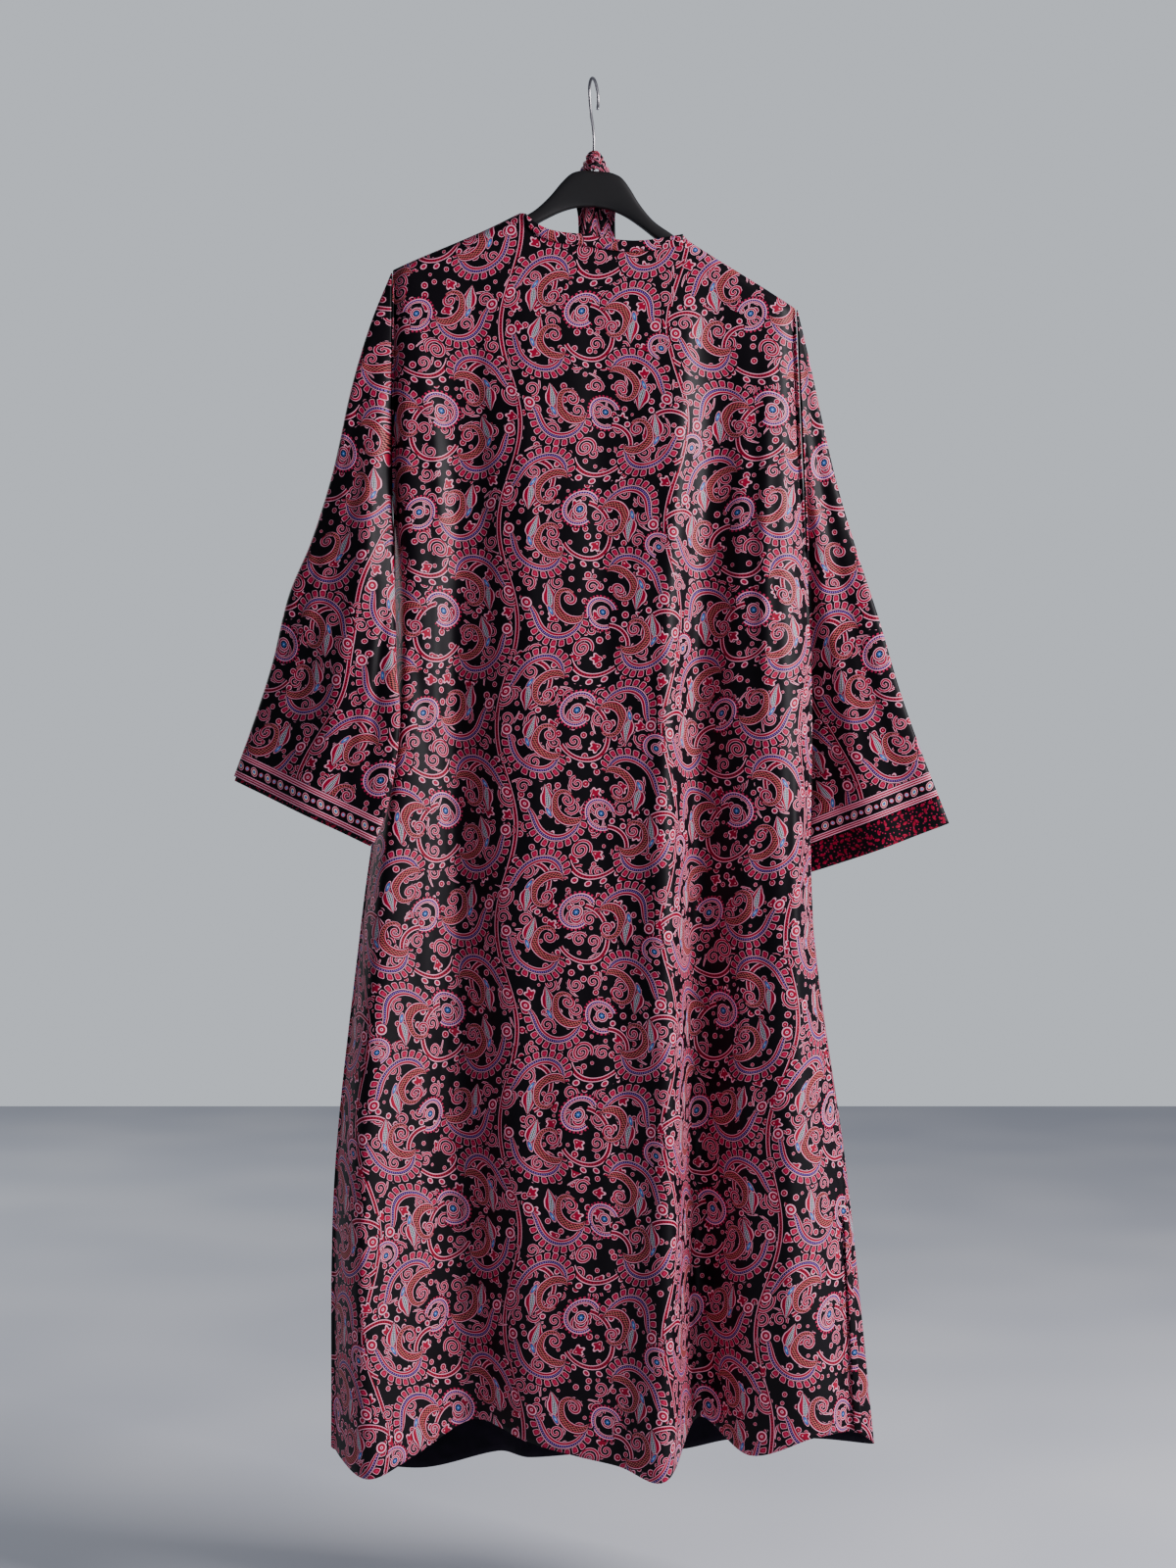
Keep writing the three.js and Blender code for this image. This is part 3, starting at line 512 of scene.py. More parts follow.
def signed_power(values: Array, power: float) -> Array:
    """The size of each value raised to a power, with the value's own sign."""
    return np.sign(values) * np.abs(values) ** power


# ------------------------------------------------------------------ the robe's body
class Side(Enum):
    """Which way the outside of a panel faces: the sign of its y."""

    BACK = -1.0
    FRONT = 1.0


@dataclass(frozen=True)
class Arm:
    """One armhole: the heights of its top and its underarm."""

    top: float
    under: float
    vented: bool

    def half(self, z: Array) -> Array:
        """Half its width from front to back at height z: half * (1 - (2c - 1)^2)^0.3."""
        c = np.clip((self.top - z) / (self.top - self.under), 0, 1)
        curve = ARMHOLE_HALF * np.maximum(1 - (2 * c - 1) ** 2, 0) ** (RING_FLATNESS / 2)
        return np.where(z > self.under, curve, 0.0)


LEFT_ARM = Arm(LEFT_SLEEVE[0][2], LEFT_SLEEVE[0][5], vented=False)
RIGHT_ARM = Arm(RIGHT_SLEEVE[0][2], RIGHT_SLEEVE[0][5], vented=True)


@dataclass
class Panel:
    """A panel of the robe's body, hung from the shoulders or the neck to its own hem.

    Breaks are the places where its upper edge turns a corner, and flare is how far its
    edge stands off along a vent, in x and y.
    """

    name: str
    folds: tuple[Fold, ...]
    top: Callable[[Array], Array]
    breaks: tuple[float, ...]
    side: Side
    first_arm: Arm | None
    last_arm: Arm | None
    flare: tuple[float, float]
    creases: tuple[Crease, ...]
    columns: int
    rows: int
    grain: float

    @property
    def last(self) -> int:
        """Number of the last fold."""
        return len(self.folds) - 1

    @property
    def rising(self) -> bool:
        """Whether x grows from the first fold to the last."""
        return self.folds[-1].x[0] > self.folds[0].x[0]

    def head(self, k: Array) -> Array:
        """Height of the upper edge at share k, found by going back and forth six times."""
        z = np.full(np.shape(k), LEVELS[0])
        for _ in range(6):
            z = self.top(plan(self.folds, k, z)[0])
        return z

    def share_at(self, x: Array, z: Array) -> Array:
        """Share k at which the folds' curve at height z passes x, by halving 30 times."""
        low, high = np.zeros(np.shape(z)), np.full(np.shape(z), float(self.last))
        for _ in range(30):
            middle = (low + high) / 2
            below = (plan(self.folds, middle, z)[0] < x) == self.rising
            low, high = np.where(below, middle, low), np.where(below, high, middle)
        return (low + high) / 2

    def place(self, k: Array, z: Array) -> Array:
        """Point of the panel's middle surface at share k and height z.

        The folds give x and y. The armhole's own curve takes over towards a seam, the vent's
        edges part below its top, the cloth rounds over the shoulder in its first 12 mm, and
        the creases are added along y.
        """
        x, y = plan(self.folds, k, z)
        side = self.side.value
        drop = np.maximum(self.head(k) - z, 0.0)
        lift = side * crease_lift(self.creases, x, z) * smooth((drop - CREASE_START) / CREASE_EASE)
        for arm, away in ((self.first_arm, k), (self.last_arm, self.last - k)):
            if arm is None:
                continue
            near = smooth(1 - away / SEAM_REACH)
            opened = np.clip((VENT_TOP - z) / (VENT_TOP - LEVELS[-1]), 0, 1) if arm.vented else 0.0
            edge = side * np.maximum(arm.half(z), SEAM_GAP / 2) + self.flare[1] * opened
            x = x + near * self.flare[0] * opened
            y = y + near * (edge - y)
            lift = lift * smooth(away / (1.6 * SEAM_REACH))
        turn = np.sqrt(1 - (1 - np.minimum(drop / SHOULDER_ROUND, 1)) ** 2)
        free = in_neck(x)
        y = side * SEAM_GAP / 2 * (1 - free) * (1 - turn) + (y + lift) * (free + (1 - free) * turn)
        return np.stack([x, y, z], axis=-1)

    def grid(self) -> Grid:
        """Grid of the whole panel, close set at the shoulder, with u = 0 on its grain line."""
        corners = []
        for x in self.breaks:
            k = self.share_at(np.array([x]), self.top(np.array([x])))[0]
            corners += [k - CORNER_HALF, k + CORNER_HALF]
        even = np.linspace(0, self.last, self.columns)
        keep = np.array([all(abs(k - c) > CORNER_CLEAR for c in corners) for k in even])
        keep[[0, -1]] = True
        k = np.sort(np.concatenate([even[keep], corners]))
        high = self.head(k[None])[0]
        low = through(range(self.last + 1), [f.hem for f in self.folds], k)
        near = np.array(SHOULDER_ROWS)
        share = np.linspace(0, 1, self.rows - len(near) + 1)[1:, None]
        z = np.concatenate([high - near[:, None], high - SHOULDER_ROUND
                            + (low - high + SHOULDER_ROUND) * share])
        points = self.place(np.broadcast_to(k, z.shape).copy(), z)
        u = lengths(points[..., :2], 1)
        start = np.argmin(np.abs(k - self.grain))
        return Grid(points, u - u[:, [start]], -points[..., 2], reach=points[..., 2] - low,
                    flipped=self.rising == (self.side is Side.BACK))


def back_panel() -> Panel:
    """The one wide back, from side seam to side seam."""
    return Panel("robe_back", (LEFT_SEAM, *BACK, RIGHT_SEAM), back_top,
                 (NECK_LEFT + NECK_STEP, NECK_RIGHT - NECK_STEP), Side.BACK, LEFT_ARM, RIGHT_ARM,
                 VENT_BACK, BACK_CREASES, columns=170, rows=230, grain=5.5)


def left_front() -> Panel:
    """The front on the wearer's left, from its free edge to the side seam."""
    return Panel("robe_front_left", (*LEFT_FRONT, LEFT_SEAM), front_top, (NECK_LEFT + NECK_STEP,),
                 Side.FRONT, None, LEFT_ARM, VENT_FRONT, LEFT_FRONT_CREASES, columns=84, rows=180,
                 grain=0.0)


def right_front() -> Panel:
    """The front on the wearer's right, from the side seam to its free edge."""
    return Panel("robe_front_right", (RIGHT_SEAM, *RIGHT_FRONT), front_top, (NECK_RIGHT - NECK_STEP,),
                 Side.FRONT, RIGHT_ARM, None, VENT_FRONT, RIGHT_FRONT_CREASES, columns=84, rows=180,
                 grain=5.0)


# ------------------------------------------------------------------ bindings
@dataclass
class Binding:
    """A narrow folded strip over an edge of a panel: up the inside, over, and down outside.

    The edge runs through the panel's shares k and heights z, and the strip lies towards
    the shares k_in and heights z_in.
    """

    name: str
    panel: Panel
    k: Array
    z: Array
    k_in: Array
    z_in: Array
    width: float = 10.0
    lift: float = 2.0

    def grid(self) -> Grid:
        """Grid across the strip: a flat run, a half round over the edge, and a flat run."""
        edge, inner = (self.panel.place(k[None], z[None])[0]
                       for k, z in ((self.k, self.z), (self.k_in, self.z_in)))
        inward = unit(inner - edge)
        outward = unit(np.cross(np.gradient(edge, axis=0), inward))
        outward *= np.sign(outward[:, [1]]) * self.panel.side.value
        t = np.array([1.0, 0.72, 0.45, 0.2, 0.0])
        a = np.linspace(0, np.pi, 7)[1:-1]
        ins = np.concatenate([t * self.width, -self.lift * 0.9 * np.sin(a), t[::-1] * self.width])
        out = self.lift * np.concatenate([[-0.7, -1, -1, -1, -1], -np.cos(a), [1, 1, 1, 1, 0.7]])
        points = (edge[:, None] + ins[None, :, None] * inward[:, None]
                  + out[None, :, None] * outward[:, None])
        return Grid(points, lengths(points, 1), lengths(points, 0))


def neck_binding(back: Panel) -> Binding:
    """The strip along the back neck, between the shoulders."""
    x = np.linspace(BACK_NECK_X[0] + 0.6, BACK_NECK_X[-1] - 0.6, 70)
    z = through(BACK_NECK_X, BACK_NECK_Z, x)
    k = back.share_at(x, z)
    return Binding("back_neck_binding", back, k, z, k, z - 10.0)


def front_binding(front: Panel, name: str, neck: float, free: int, ahead: float) -> Binding:
    """The strip down the neck's slant and the free edge of a front.

    Args:
        front: the panel.
        name: the piece's name.
        neck: where the neck starts on the shoulder.
        free: number of the fold at the free edge.
        ahead: step in k from the edge into the panel.

    Returns:
        The strip.
    """
    start = neck - math.copysign(NECK_STEP, neck)
    high = float(shoulder_top(np.array([start]))[0])
    z = np.concatenate([np.linspace(high - 18, V_FOOT, 60)[:-1],
                        np.linspace(V_FOOT, front.folds[free].hem + 1, 110)])
    share = np.clip((z - high) / (V_FOOT - high), 0, 1) ** (1 / V_BEND)
    x = start + (math.copysign(FRONT_GAP / 2, neck) - start) * share
    k = np.where(z > V_FOOT, front.share_at(x, z), free)
    return Binding(name, front, k, z, k + ahead, z)


def vent_edge(back: Panel) -> Binding:
    """The folded edge of the back panel along the vent, from its top to the hem."""
    z = np.linspace(VENT_TOP - 5, back.folds[-1].hem + 1, 60)
    k = np.full(z.shape, float(back.last))
    return Binding("vent_edge", back, k, z, k - 0.2, z, width=6.0, lift=1.5)


# ------------------------------------------------------------------ sleeves
@dataclass
class Sleeve:
    """A wide tube of cloth from the armhole to the cuff, hanging almost flat."""

    name: str
    table: tuple[tuple[float, ...], ...]
    creases: tuple[Crease, ...]
    rows: int = 92
    points: int = 112

    def ring(self, s: Array) -> Array:
        """Rings at shares s of the sleeve, each from its inner edge round by the outer one.

        A ring goes from the inner to the outer point as (1 + cos a) / 2, with y swelling as
        half * sin(a)^0.6 and a shallow wave of folds across.
        """
        index = range(len(self.table))
        k = s * (len(self.table) - 1)
        columns = np.stack([through(index, column, k) for column in zip(*self.table)], -1)
        outer, inner = columns[:, :3], columns[:, 3:6]
        a = np.pi + np.linspace(0, 2 * np.pi, self.points, endpoint=False)
        c = (1 - np.cos(a)) / 2
        p = outer[:, None] + (inner - outer)[:, None] * c[None, :, None]
        depth, waves = SLEEVE_FOLD
        wave = np.sin(np.pi * c) * np.sin(2 * np.pi * waves * c)
        p[..., 1] += columns[:, 6:] * signed_power(np.sin(a), RING_FLATNESS)
        p[..., 1] += depth * smooth(s / 0.3)[:, None] * wave
        lift = crease_lift(self.creases, p[..., 0], p[..., 2]) * signed_power(np.sin(a), 0.8)
        p[..., 1] += lift * smooth(s / 0.12)[:, None]
        return p

    def coordinates(self, points: Array) -> Grid:
        """Cloth coordinates: v down the sleeve's outer edge, u round from that edge."""
        down = np.array(self.table[-1][:3], float) - np.array(self.table[0][:3], float)
        down = unit(down * (1, 0, 1))
        step = np.roll(points, -1, axis=1) - points
        length = np.linalg.norm(step - (step @ down)[..., None] * down, axis=-1)
        u = np.concatenate([np.zeros((len(points), 1)), np.cumsum(length, axis=1)[:, :-1]], axis=1)
        return Grid(points, u - u[:, [self.points // 2]], points @ down, closed=True)

    def grid(self) -> Grid:
        """Grid of the whole sleeve, with each point's distance from the cuff's edge."""
        grid = self.coordinates(self.ring(np.linspace(0, 1, self.rows)))
        grid.reach = grid.v[-1] - grid.v
        return grid

    def cuff(self) -> tuple[Array, Array]:
        """Points of the cuff's edge, and the sleeve's direction at each, without its y."""
        before, end = self.ring(np.array([0.9, 1.0]))
        return end, unit((end - before) * (1, 0, 1))

    def share_above_cuff(self, distance: float) -> float:
        """Share of the sleeve at a distance above the cuff, along its outer edge."""
        low, high = (np.array(row[:3], float) for row in self.table[-2:])
        return 1 - distance / np.linalg.norm(high - low) / (len(self.table) - 1)


@dataclass
class CuffBand:
    """The facing at a cuff, hanging out below it or turned up inside it."""

    name: str
    sleeve: Sleeve
    turned: bool

    def grid(self) -> Grid:
        """Rings of the facing, from its upper edge down."""
        end, away = self.sleeve.cuff()
        if not self.turned:
            reach = np.linspace(SEAM_GAP, BAND_LENGTH, 9)
            wave = BAND_WAVE * np.sin(np.arange(len(end)) * 2 * np.pi * 3 / len(end))
            rings = end[None] + reach[:, None, None] * away[None]
            rings[..., 1] += wave[None] * smooth(reach / BAND_LENGTH)[:, None]
            return self.sleeve.coordinates(rings)
        rings = self.sleeve.ring(np.linspace(self.sleeve.share_above_cuff(BAND_TURNED), 1, 6))
        rings = np.concatenate([rings, end[None] + BAND_PEEP * away[None]])
        grid = self.sleeve.coordinates(rings)
        normals = grid.normals()
        out = rings - rings.mean(axis=1, keepdims=True)
        outwards = np.sign(np.sum(normals * out, axis=-1, keepdims=True))
        grid.points = rings - normals * outwards * BAND_INSET
        return grid


# ------------------------------------------------------------------ sash, hanger and hook
@dataclass
class Sash:
    """The robe's own sash, gathered through the hanger's neck and hanging down inside."""

    name: str = "sash_strip"
    rows: int = 420
    columns: int = 15

    def grid(self) -> Grid:
        """Strip through the table's sections; where it is gathered, its width is pleated.

        The pleats' depth is 0.5 mm at full width and grows to 2 mm where the strip is
        drawn together.
        """
        table = np.array(SASH, float)
        t = spaced(table[:, :3])
        s = np.linspace(0, t[-1], self.rows)
        x, y, z, half, turn = (through(t, column, s) for column in table.T)
        at, turn = np.stack([x, y, z], -1), np.radians(turn)
        width = np.stack([np.cos(turn), np.zeros_like(turn), np.sin(turn)], -1)
        w = np.linspace(-1, 1, self.columns)
        face = unit(np.cross(np.gradient(at, axis=0), width))
        depth = PLEAT_DEPTH + PLEAT_GROWTH * smooth((18 - half) / 9)
        pleat = depth[:, None] * np.sin(2 * np.pi * PLEAT_WAVES * w + 0.6 * np.sin(s / 9)[:, None])
        points = at[:, None] + (half[:, None] * w)[..., None] * width[:, None]
        points = points + pleat[..., None] * face[:, None]
        return Grid(points, lengths(points, 1), lengths(points, 0), flipped=False)


@dataclass
class Hanger:
    """A moulded hanger with sloping arms that rise in a curve to its neck."""

    name: str = "hanger"
    node: str = "hanger_body"
    rows: int = 220
    points: int = 28

    def build(self) -> bpy.types.Object:
        """Upright sections from tip to tip, rounded off, and closed at the two tips.

        A section's z goes from its top to its underside as (1 - cos(a)^0.7) / 2, and its y
        is half its thickness * sin(a)^0.55.
        """
        tip_x, tip_z = HANGER_TIP
        top, under = ([(*row, near, tip) for row, near, tip in zip(table, beside, HANGER_TIP)]
                      for table, beside in ((HANGER_TOP, TIP_TOP),
                                            ([row[::-1] for row in HANGER_UNDER], TIP_UNDER)))
        angle = np.linspace(-np.pi / 2, np.pi / 2, self.rows + 2)[1:-1]
        x = tip_x * np.sin(angle) * (0.35 + 0.65 * np.abs(np.sin(angle)) ** 0.4)
        high, low = through(*top, np.abs(x)), through(*under, np.abs(x))
        a = np.linspace(0, 2 * np.pi, self.points, endpoint=False)
        z = high[:, None] + (low - high)[:, None] * (1 - signed_power(np.cos(a), 0.7)) / 2
        thick = HANGER_HALF_DEPTH * np.sqrt(np.clip((tip_x - np.abs(x)) / TIP_ROUND, 0, 1))
        px, pz = hanger_place(np.broadcast_to(x[:, None], z.shape), z)
        rings = np.stack([px, thick[:, None] * signed_power(np.sin(a), 0.55), pz], -1)
        ends = (np.insert(hanger_place(side * tip_x, tip_z), 1, 0.0) for side in (-1, 1))
        return lofted_object(self.name, rings[:, ::-1], *ends)


@dataclass
class Hook:
    """A wire hook: a shank, a bend to one side and more than half a ring over the rail."""

    name: str = "hook"
    node: str = "hanger_hook"
    steps: int = 150

    def path(self) -> Array:
        """Middle line of the wire, from inside the hanger's neck to its free end."""
        ring = HOOK_INNER_RADIUS + WIRE_RADIUS
        a = np.radians(np.linspace(-18, 208, 15))
        u = np.array([0, 0, 0, -4, -12.5, *(-ring * np.cos(a))])
        z = np.array([HANGER_NECK[1] - 14, -80, -62, -50, -37,
                      *(-HOOK_INNER_RADIUS + ring * np.sin(a))])
        t = spaced(np.stack([u, z], -1))
        s = np.linspace(0, t[-1], self.steps)
        u, z = through(t, u, s), through(t, z, s)
        return np.stack([u * math.cos(HOOK_TURN), u * math.sin(HOOK_TURN), z], -1)

    def build(self) -> bpy.types.Object:
        """The wire's mesh, with both ends rounded."""
        path = self.path()
        tips = (end + unit(end - inner) * WIRE_RADIUS * 0.6
                for end, inner in ((path[0], path[1]), (path[-1], path[-2])))
        return lofted_object(self.name, tube_rings(path, WIRE_RADIUS, 16), *tips)


# ------------------------------------------------------------------ node wiring
Tree = bpy.types.NodeTree
Socket = bpy.types.NodeSocket
Dye = tuple[float, float, float, float]
Stops = Sequence[tuple[float, Dye]]


def add(tree: Tree, kind: str, **settings: object) -> bpy.types.Node:
    """A shader node, with its own settings given by name."""
    node = tree.nodes.new("ShaderNode" + kind)
    for name, value in settings.items():
        setattr(node, name, value)
    return node


def feed(slot: Socket, value: Wire | Dye | float) -> None:
    """Join a wire to a node's input, or set the input to a value."""
    if isinstance(value, Wire):
        value.tree.links.new(value.socket, slot)
    else:
        slot.default_value = value


def fill(node: bpy.types.Node, **values: Wire | Dye | float) -> bpy.types.Node:
    """Join or set some of a node's inputs by name."""
    for name, value in values.items():
        feed(node.inputs[name], value)
    return node


@dataclass(frozen=True)
class Wire:
    """One value in a node tree. Arithmetic on it adds the nodes that work it out."""

    tree: Tree
    socket: Socket

    def math(self, operation: str, *others: Wire | float) -> Wire:
        """A math node with this wire first."""
        node = add(self.tree, "Math", operation=operation)
        for slot, value in zip(node.inputs, (self, *others)):
            feed(slot, value)
        return Wire(self.tree, node.outputs[0])

    def __add__(self, other: Wire | float) -> Wire:
        """Sum."""
        return self.math("ADD", other)

    def __sub__(self, other: Wire | float) -> Wire:
        """Difference."""
        return self.math("SUBTRACT", other)

    def __mul__(self, other: Wire | float) -> Wire:
        """Product."""
        return self.math("MULTIPLY", other)

    def __truediv__(self, other: Wire | float) -> Wire:
        """Quotient."""
        return self.math("DIVIDE", other)

    def below(self, other: Wire | float) -> Wire:
        """1 where this is less than the other."""
        return self.math("LESS_THAN", other)

    def above(self, other: Wire | float) -> Wire:
        """1 where this is more than the other."""
        return self.math("GREATER_THAN", other)

    def size(self) -> Wire:
        """Absolute value."""
        return self.math("ABSOLUTE")

    def part(self) -> Wire:
        """What is left past the whole number."""
        return self.math("FRACT")

    def ramp(self, stops: Stops, blended: bool = False) -> Wire:
        """Colour bands: each stop's colour holds from its place to the next one's."""
        node = add(self.tree, "ValToRGB")
        bands = node.color_ramp
        bands.interpolation = "LINEAR" if blended else "CONSTANT"
        for n, (place, dye) in enumerate(stops):
            stop = bands.elements[n] if n < 2 else bands.elements.new(place)
            stop.position, stop.color = place, dye
        feed(node.inputs[0], self)
        return Wire(self.tree, node.outputs[0])

    def curve(self, points: Sequence[tuple[float, float]], most: float) -> Wire:
        """Value of a smooth curve through points, given from 0 to 1 across and 0 to most up."""
        node = add(self.tree, "FloatCurve")
        line = node.mapping.curves[0]
        for n, (x, y) in enumerate(points):
            if n < 2:
                line.points[n].location = (x, y / most)
            else:
                line.points.new(x, y / most)
        node.mapping.update()
        feed(node.inputs["Value"], self)
        return Wire(self.tree, node.outputs[0]) * most


@dataclass(frozen=True)
class Spot:
    """Where one copy of a motif lies in the repeat, in millimetres and degrees."""

    x: float
    y: float
    turn: float = 0.0
    mirrored: bool = False
    scale: float = 1.0

    def facing(self) -> tuple[float, float]:
        """Cosine and sine of its turn, over its scale."""
        angle = math.radians(self.turn)
        return math.cos(angle) / self.scale, math.sin(angle) / self.scale


@dataclass(frozen=True)
class Place(Wire):
    """A place on the cloth as one vector wire, in millimetres."""

    def vector(self, operation: str, *others: Wire | tuple[float, ...]) -> bpy.types.Node:
        """A vector math node with this place first."""
        node = add(self.tree, "VectorMath", operation=operation)
        for slot, value in zip(node.inputs, (self, *others)):
            feed(slot, value)
        return node

    def parts(self) -> list[Wire]:
        """x and y."""
        return split(self)[:2]

    def less(self, other: Wire | tuple[float, ...]) -> Place:
        """This place measured from another."""
        return Place(self.tree, self.vector("SUBTRACT", other).outputs[0])

    def length(self) -> Wire:
        """Distance from the middle."""
        return Wire(self.tree, self.vector("LENGTH").outputs["Value"])

    def dot(self, x: float, y: float) -> Wire:
        """Sum of this place's x and y, each times a number."""
        return Wire(self.tree, self.vector("DOT_PRODUCT", (x, y, 0)).outputs["Value"])

    def seen_from(self, spot: Spot) -> Place:
        """The same place measured from a spot, turned, mirrored and scaled with it."""
        moved, side = self.less((spot.x, spot.y, 0)), -1 if spot.mirrored else 1
        c, s = spot.facing()
        return joined(self.tree, moved.dot(side * c, side * s), moved.dot(-s, c))

    def turned(self, c: Wire, s: Wire, side: Wire) -> Place:
        """The place turned by the angle of cosine c and sine s, and mirrored where side is -1."""
        x, y = self.parts()
        return joined(self.tree, (x * c + y * s) * side, y * c - x * s)

    def polar(self, cut: float) -> tuple[Wire, Wire]:
        """Distance and share of a turn, counted the other way to a clock from the cut.

        Args:
            cut: share of a turn from +x at which the count starts.

        Returns:
            The distance in millimetres, and the share from 0 to 1.
        """
        x, y = self.parts()
        return self.length(), (y.math("ARCTAN2", x) * (0.5 / math.pi) + (1.0 - cut)).part()

    def nearest(self, spots: Sequence[Spot], height: float) -> Place:
        """The place as the nearest of several spots sees it, the repeat closing in y.

        The nearest spot's offset and its facing are carried along, and the turn is made once.
        """
        tree, reach = self.tree, (1000.0, height / 2, 1.0)
        best = facing = least = None
        for spot in spots:
            moved = self.less((spot.x, spot.y, 0))
            wrapped = Place(tree, moved.vector("WRAP", reach, tuple(-r for r in reach)).outputs[0])
            here = joined(tree, *spot.facing(), -1.0 if spot.mirrored else 1.0)
            far = wrapped.length()
            if best is None:
                best, facing, least = wrapped, here, far
                continue
            closer = far.below(least)
            best = Place(tree, mixed("VECTOR", best, wrapped, closer))
            facing = Place(tree, mixed("VECTOR", facing, here, closer))
            least = least.math("MINIMUM", far)
        return best.turned(*split(facing))

    def cells(self, spacing: float, loose: float) -> bpy.types.Node:
        """A node that finds the nearest of points scattered over the cloth.

        Args:
            spacing: usual distance between the points.
            loose: how far they stray from an even grid, from 0 to 1.

        Returns:
            The node, with its outputs Position, Distance and Color.
        """
        node = add(self.tree, "TexVoronoi", voronoi_dimensions="2D")
        return fill(node, Vector=self, Scale=1.0 / spacing, Randomness=loose)

    def scattered(self, spacing: float, loose: float) -> tuple[Place, Wire]:
        """The place as the nearest scattered point sees it, each point with its own turn.

        Args:
            spacing: usual distance between the points.
            loose: how far they stray from an even grid, from 0 to 1.

        Returns:
            The place, and a share from 0 to 1 that differs from point to point.
        """
        cells = self.cells(spacing, loose)
        away = self.less(Wire(self.tree, cells.outputs["Position"]))
        share, kind, _ = split(Wire(self.tree, cells.outputs["Color"]))
        angle = share * (2 * math.pi)
        return away.turned(angle.math("COSINE"), angle.math("SINE"), kind.above(0.5) * 2.0 - 1.0), kind


def split(vector: Wire) -> list[Wire]:
    """The three numbers of a vector or a colour."""
    node = add(vector.tree, "SeparateXYZ")
    feed(node.inputs[0], vector)
    return [Wire(vector.tree, out) for out in node.outputs]


def joined(tree: Tree, *parts: Wire | float) -> Place:
    """A place from its numbers."""
    node = add(tree, "CombineXYZ")
    for slot, value in zip(node.inputs, parts):
        feed(slot, value)
    return Place(tree, node.outputs[0])


def mixed(kind: str, below: Wire | Dye, above: Wire | Dye, share: Wire) -> Socket:
    """A vector or a colour that goes from below to above as share goes from 0 to 1."""
    node = add(share.tree, "Mix", data_type=kind)
    first, out = {"VECTOR": (4, 1), "RGBA": (6, 2)}[kind]
    for n, value in ((0, share), (first, below), (first + 1, above)):
        feed(node.inputs[n], value)
    return node.outputs[out]


def over(below: Wire | Dye, above: Wire | Dye, cover: Wire) -> Wire:
    """Colour above where cover is 1, colour below elsewhere."""
    return Wire(cover.tree, mixed("RGBA", below, above, cover))


def linear(red: int, green: int, blue: int) -> Dye:
    """Linear colour from its 0 to 255 display values."""
    shares = (v / 255 for v in (red, green, blue))
    return *(v / 12.92 if v <= 0.04045 else ((v + 0.055) / 1.055) ** 2.4 for v in shares), 1.0


def group(name: str, takes: str, gives: str, draw: Callable[..., Sequence[Wire]]) -> Tree:
    """A node group.

    Args:
        name: the group's name.
        takes: its inputs, each as Name:Kind.
        gives: its outputs, in the same way.
        draw: works out the outputs from the inputs, of which vectors come as places.

    Returns:
        The group.
    """
    tree = bpy.data.node_groups.new(name, "ShaderNodeTree")
    for side, sockets in (("INPUT", takes), ("OUTPUT", gives)):
        for label, kind in (socket.split(":") for socket in sockets.split()):
            tree.interface.new_socket(label, in_out=side, socket_type="NodeSocket" + kind)
    start, end = tree.nodes.new("NodeGroupInput"), tree.nodes.new("NodeGroupOutput")
    wires = [(Place if out.type == "VECTOR" else Wire)(tree, out) for out in start.outputs[:-1]]
    for slot, value in zip(end.inputs, draw(*wires)):
        feed(slot, value)
    return tree


def use(tree: Tree, nodes: Tree, **values: Wire | float) -> list[Wire]:
    """Outputs of a node of a group, whose inputs are joined or set by name."""
    node = fill(add(tree, "Group", node_tree=nodes), **values)
    return [Wire(tree, out) for out in node.outputs]


NIGHT = linear(7, 3, 8)
PALE = linear(246, 168, 192)
PINK = linear(178, 24, 76)
CRIMSON = linear(148, 2, 44)
SALMON = linear(182, 88, 86)
VIOLET = linear(120, 80, 164)
BLUE = linear(58, 104, 178)
SKY = linear(158, 188, 214)
CREAM = linear(232, 214, 198)


# ------------------------------------------------------------------ motifs
class Ink(NamedTuple):
    """One drawn shape: its colour, and a cover that is 1 where it hides what lies below."""

    color: Wire
    cover: Wire


def stacked(*inks: Ink) -> Ink:
    """Shapes laid over one another, the lowest first."""
    color, cover = inks[0]
    for ink in inks[1:]:
        color, cover = over(color, ink.color, ink.cover), cover.math("MAXIMUM", ink.cover)
    return Ink(color, cover)


def band(x: Wire, width: Wire, moat: float, stops: Stops) -> Ink:
    """Colours across a band, with a dark line outside it.

    Args:
        x: distance from the band's inner side.
        width: the band's width.
        moat: share of the width that the dark line takes on each side.
        stops: colours by share of the width.

    Returns:
        The band, without an end.
    """
    whole = 1 + 2 * moat
    share = (x / width + moat) / whole
    inner = [((p + moat) / whole, dye) for p, dye in stops]
    bands = [(0.0, NIGHT), *inner, ((1 + moat) / whole, NIGHT)]
    return Ink(share.ramp(bands), share.above(0.0) * share.below(1.0))


def curl(place: Place, radius: float, pitch: float, half: float, start: float) -> Ink:
    """A stroke that winds inwards from a radius, a pitch nearer the middle each turn."""
    r, u = place.polar(0.0)
    off = (((r - radius) / pitch + u + 0.5).part() - 0.5).size() * pitch
    edge = (u - u.above(start)) * -pitch + (radius + pitch / 2)
    stops = [(0.0, CRIMSON), (half * 0.12, PINK), (half * 0.165, PALE), (half / 4.0, NIGHT)]
    return Ink((off / 4.0).ramp(stops), r.below(edge) * off.below(half + 0.9))


def knob(place: Place, x: float, y: float, size: float) -> Ink:
    """A round end: rings round a point."""
    r = place.less((x, y, 0)).length() / size
    rings = [(0.0, NIGHT), (0.12, PALE), (0.26, CRIMSON), (0.66, PALE), (0.86, NIGHT)]
    return Ink(r.ramp(rings), r.below(1.0))


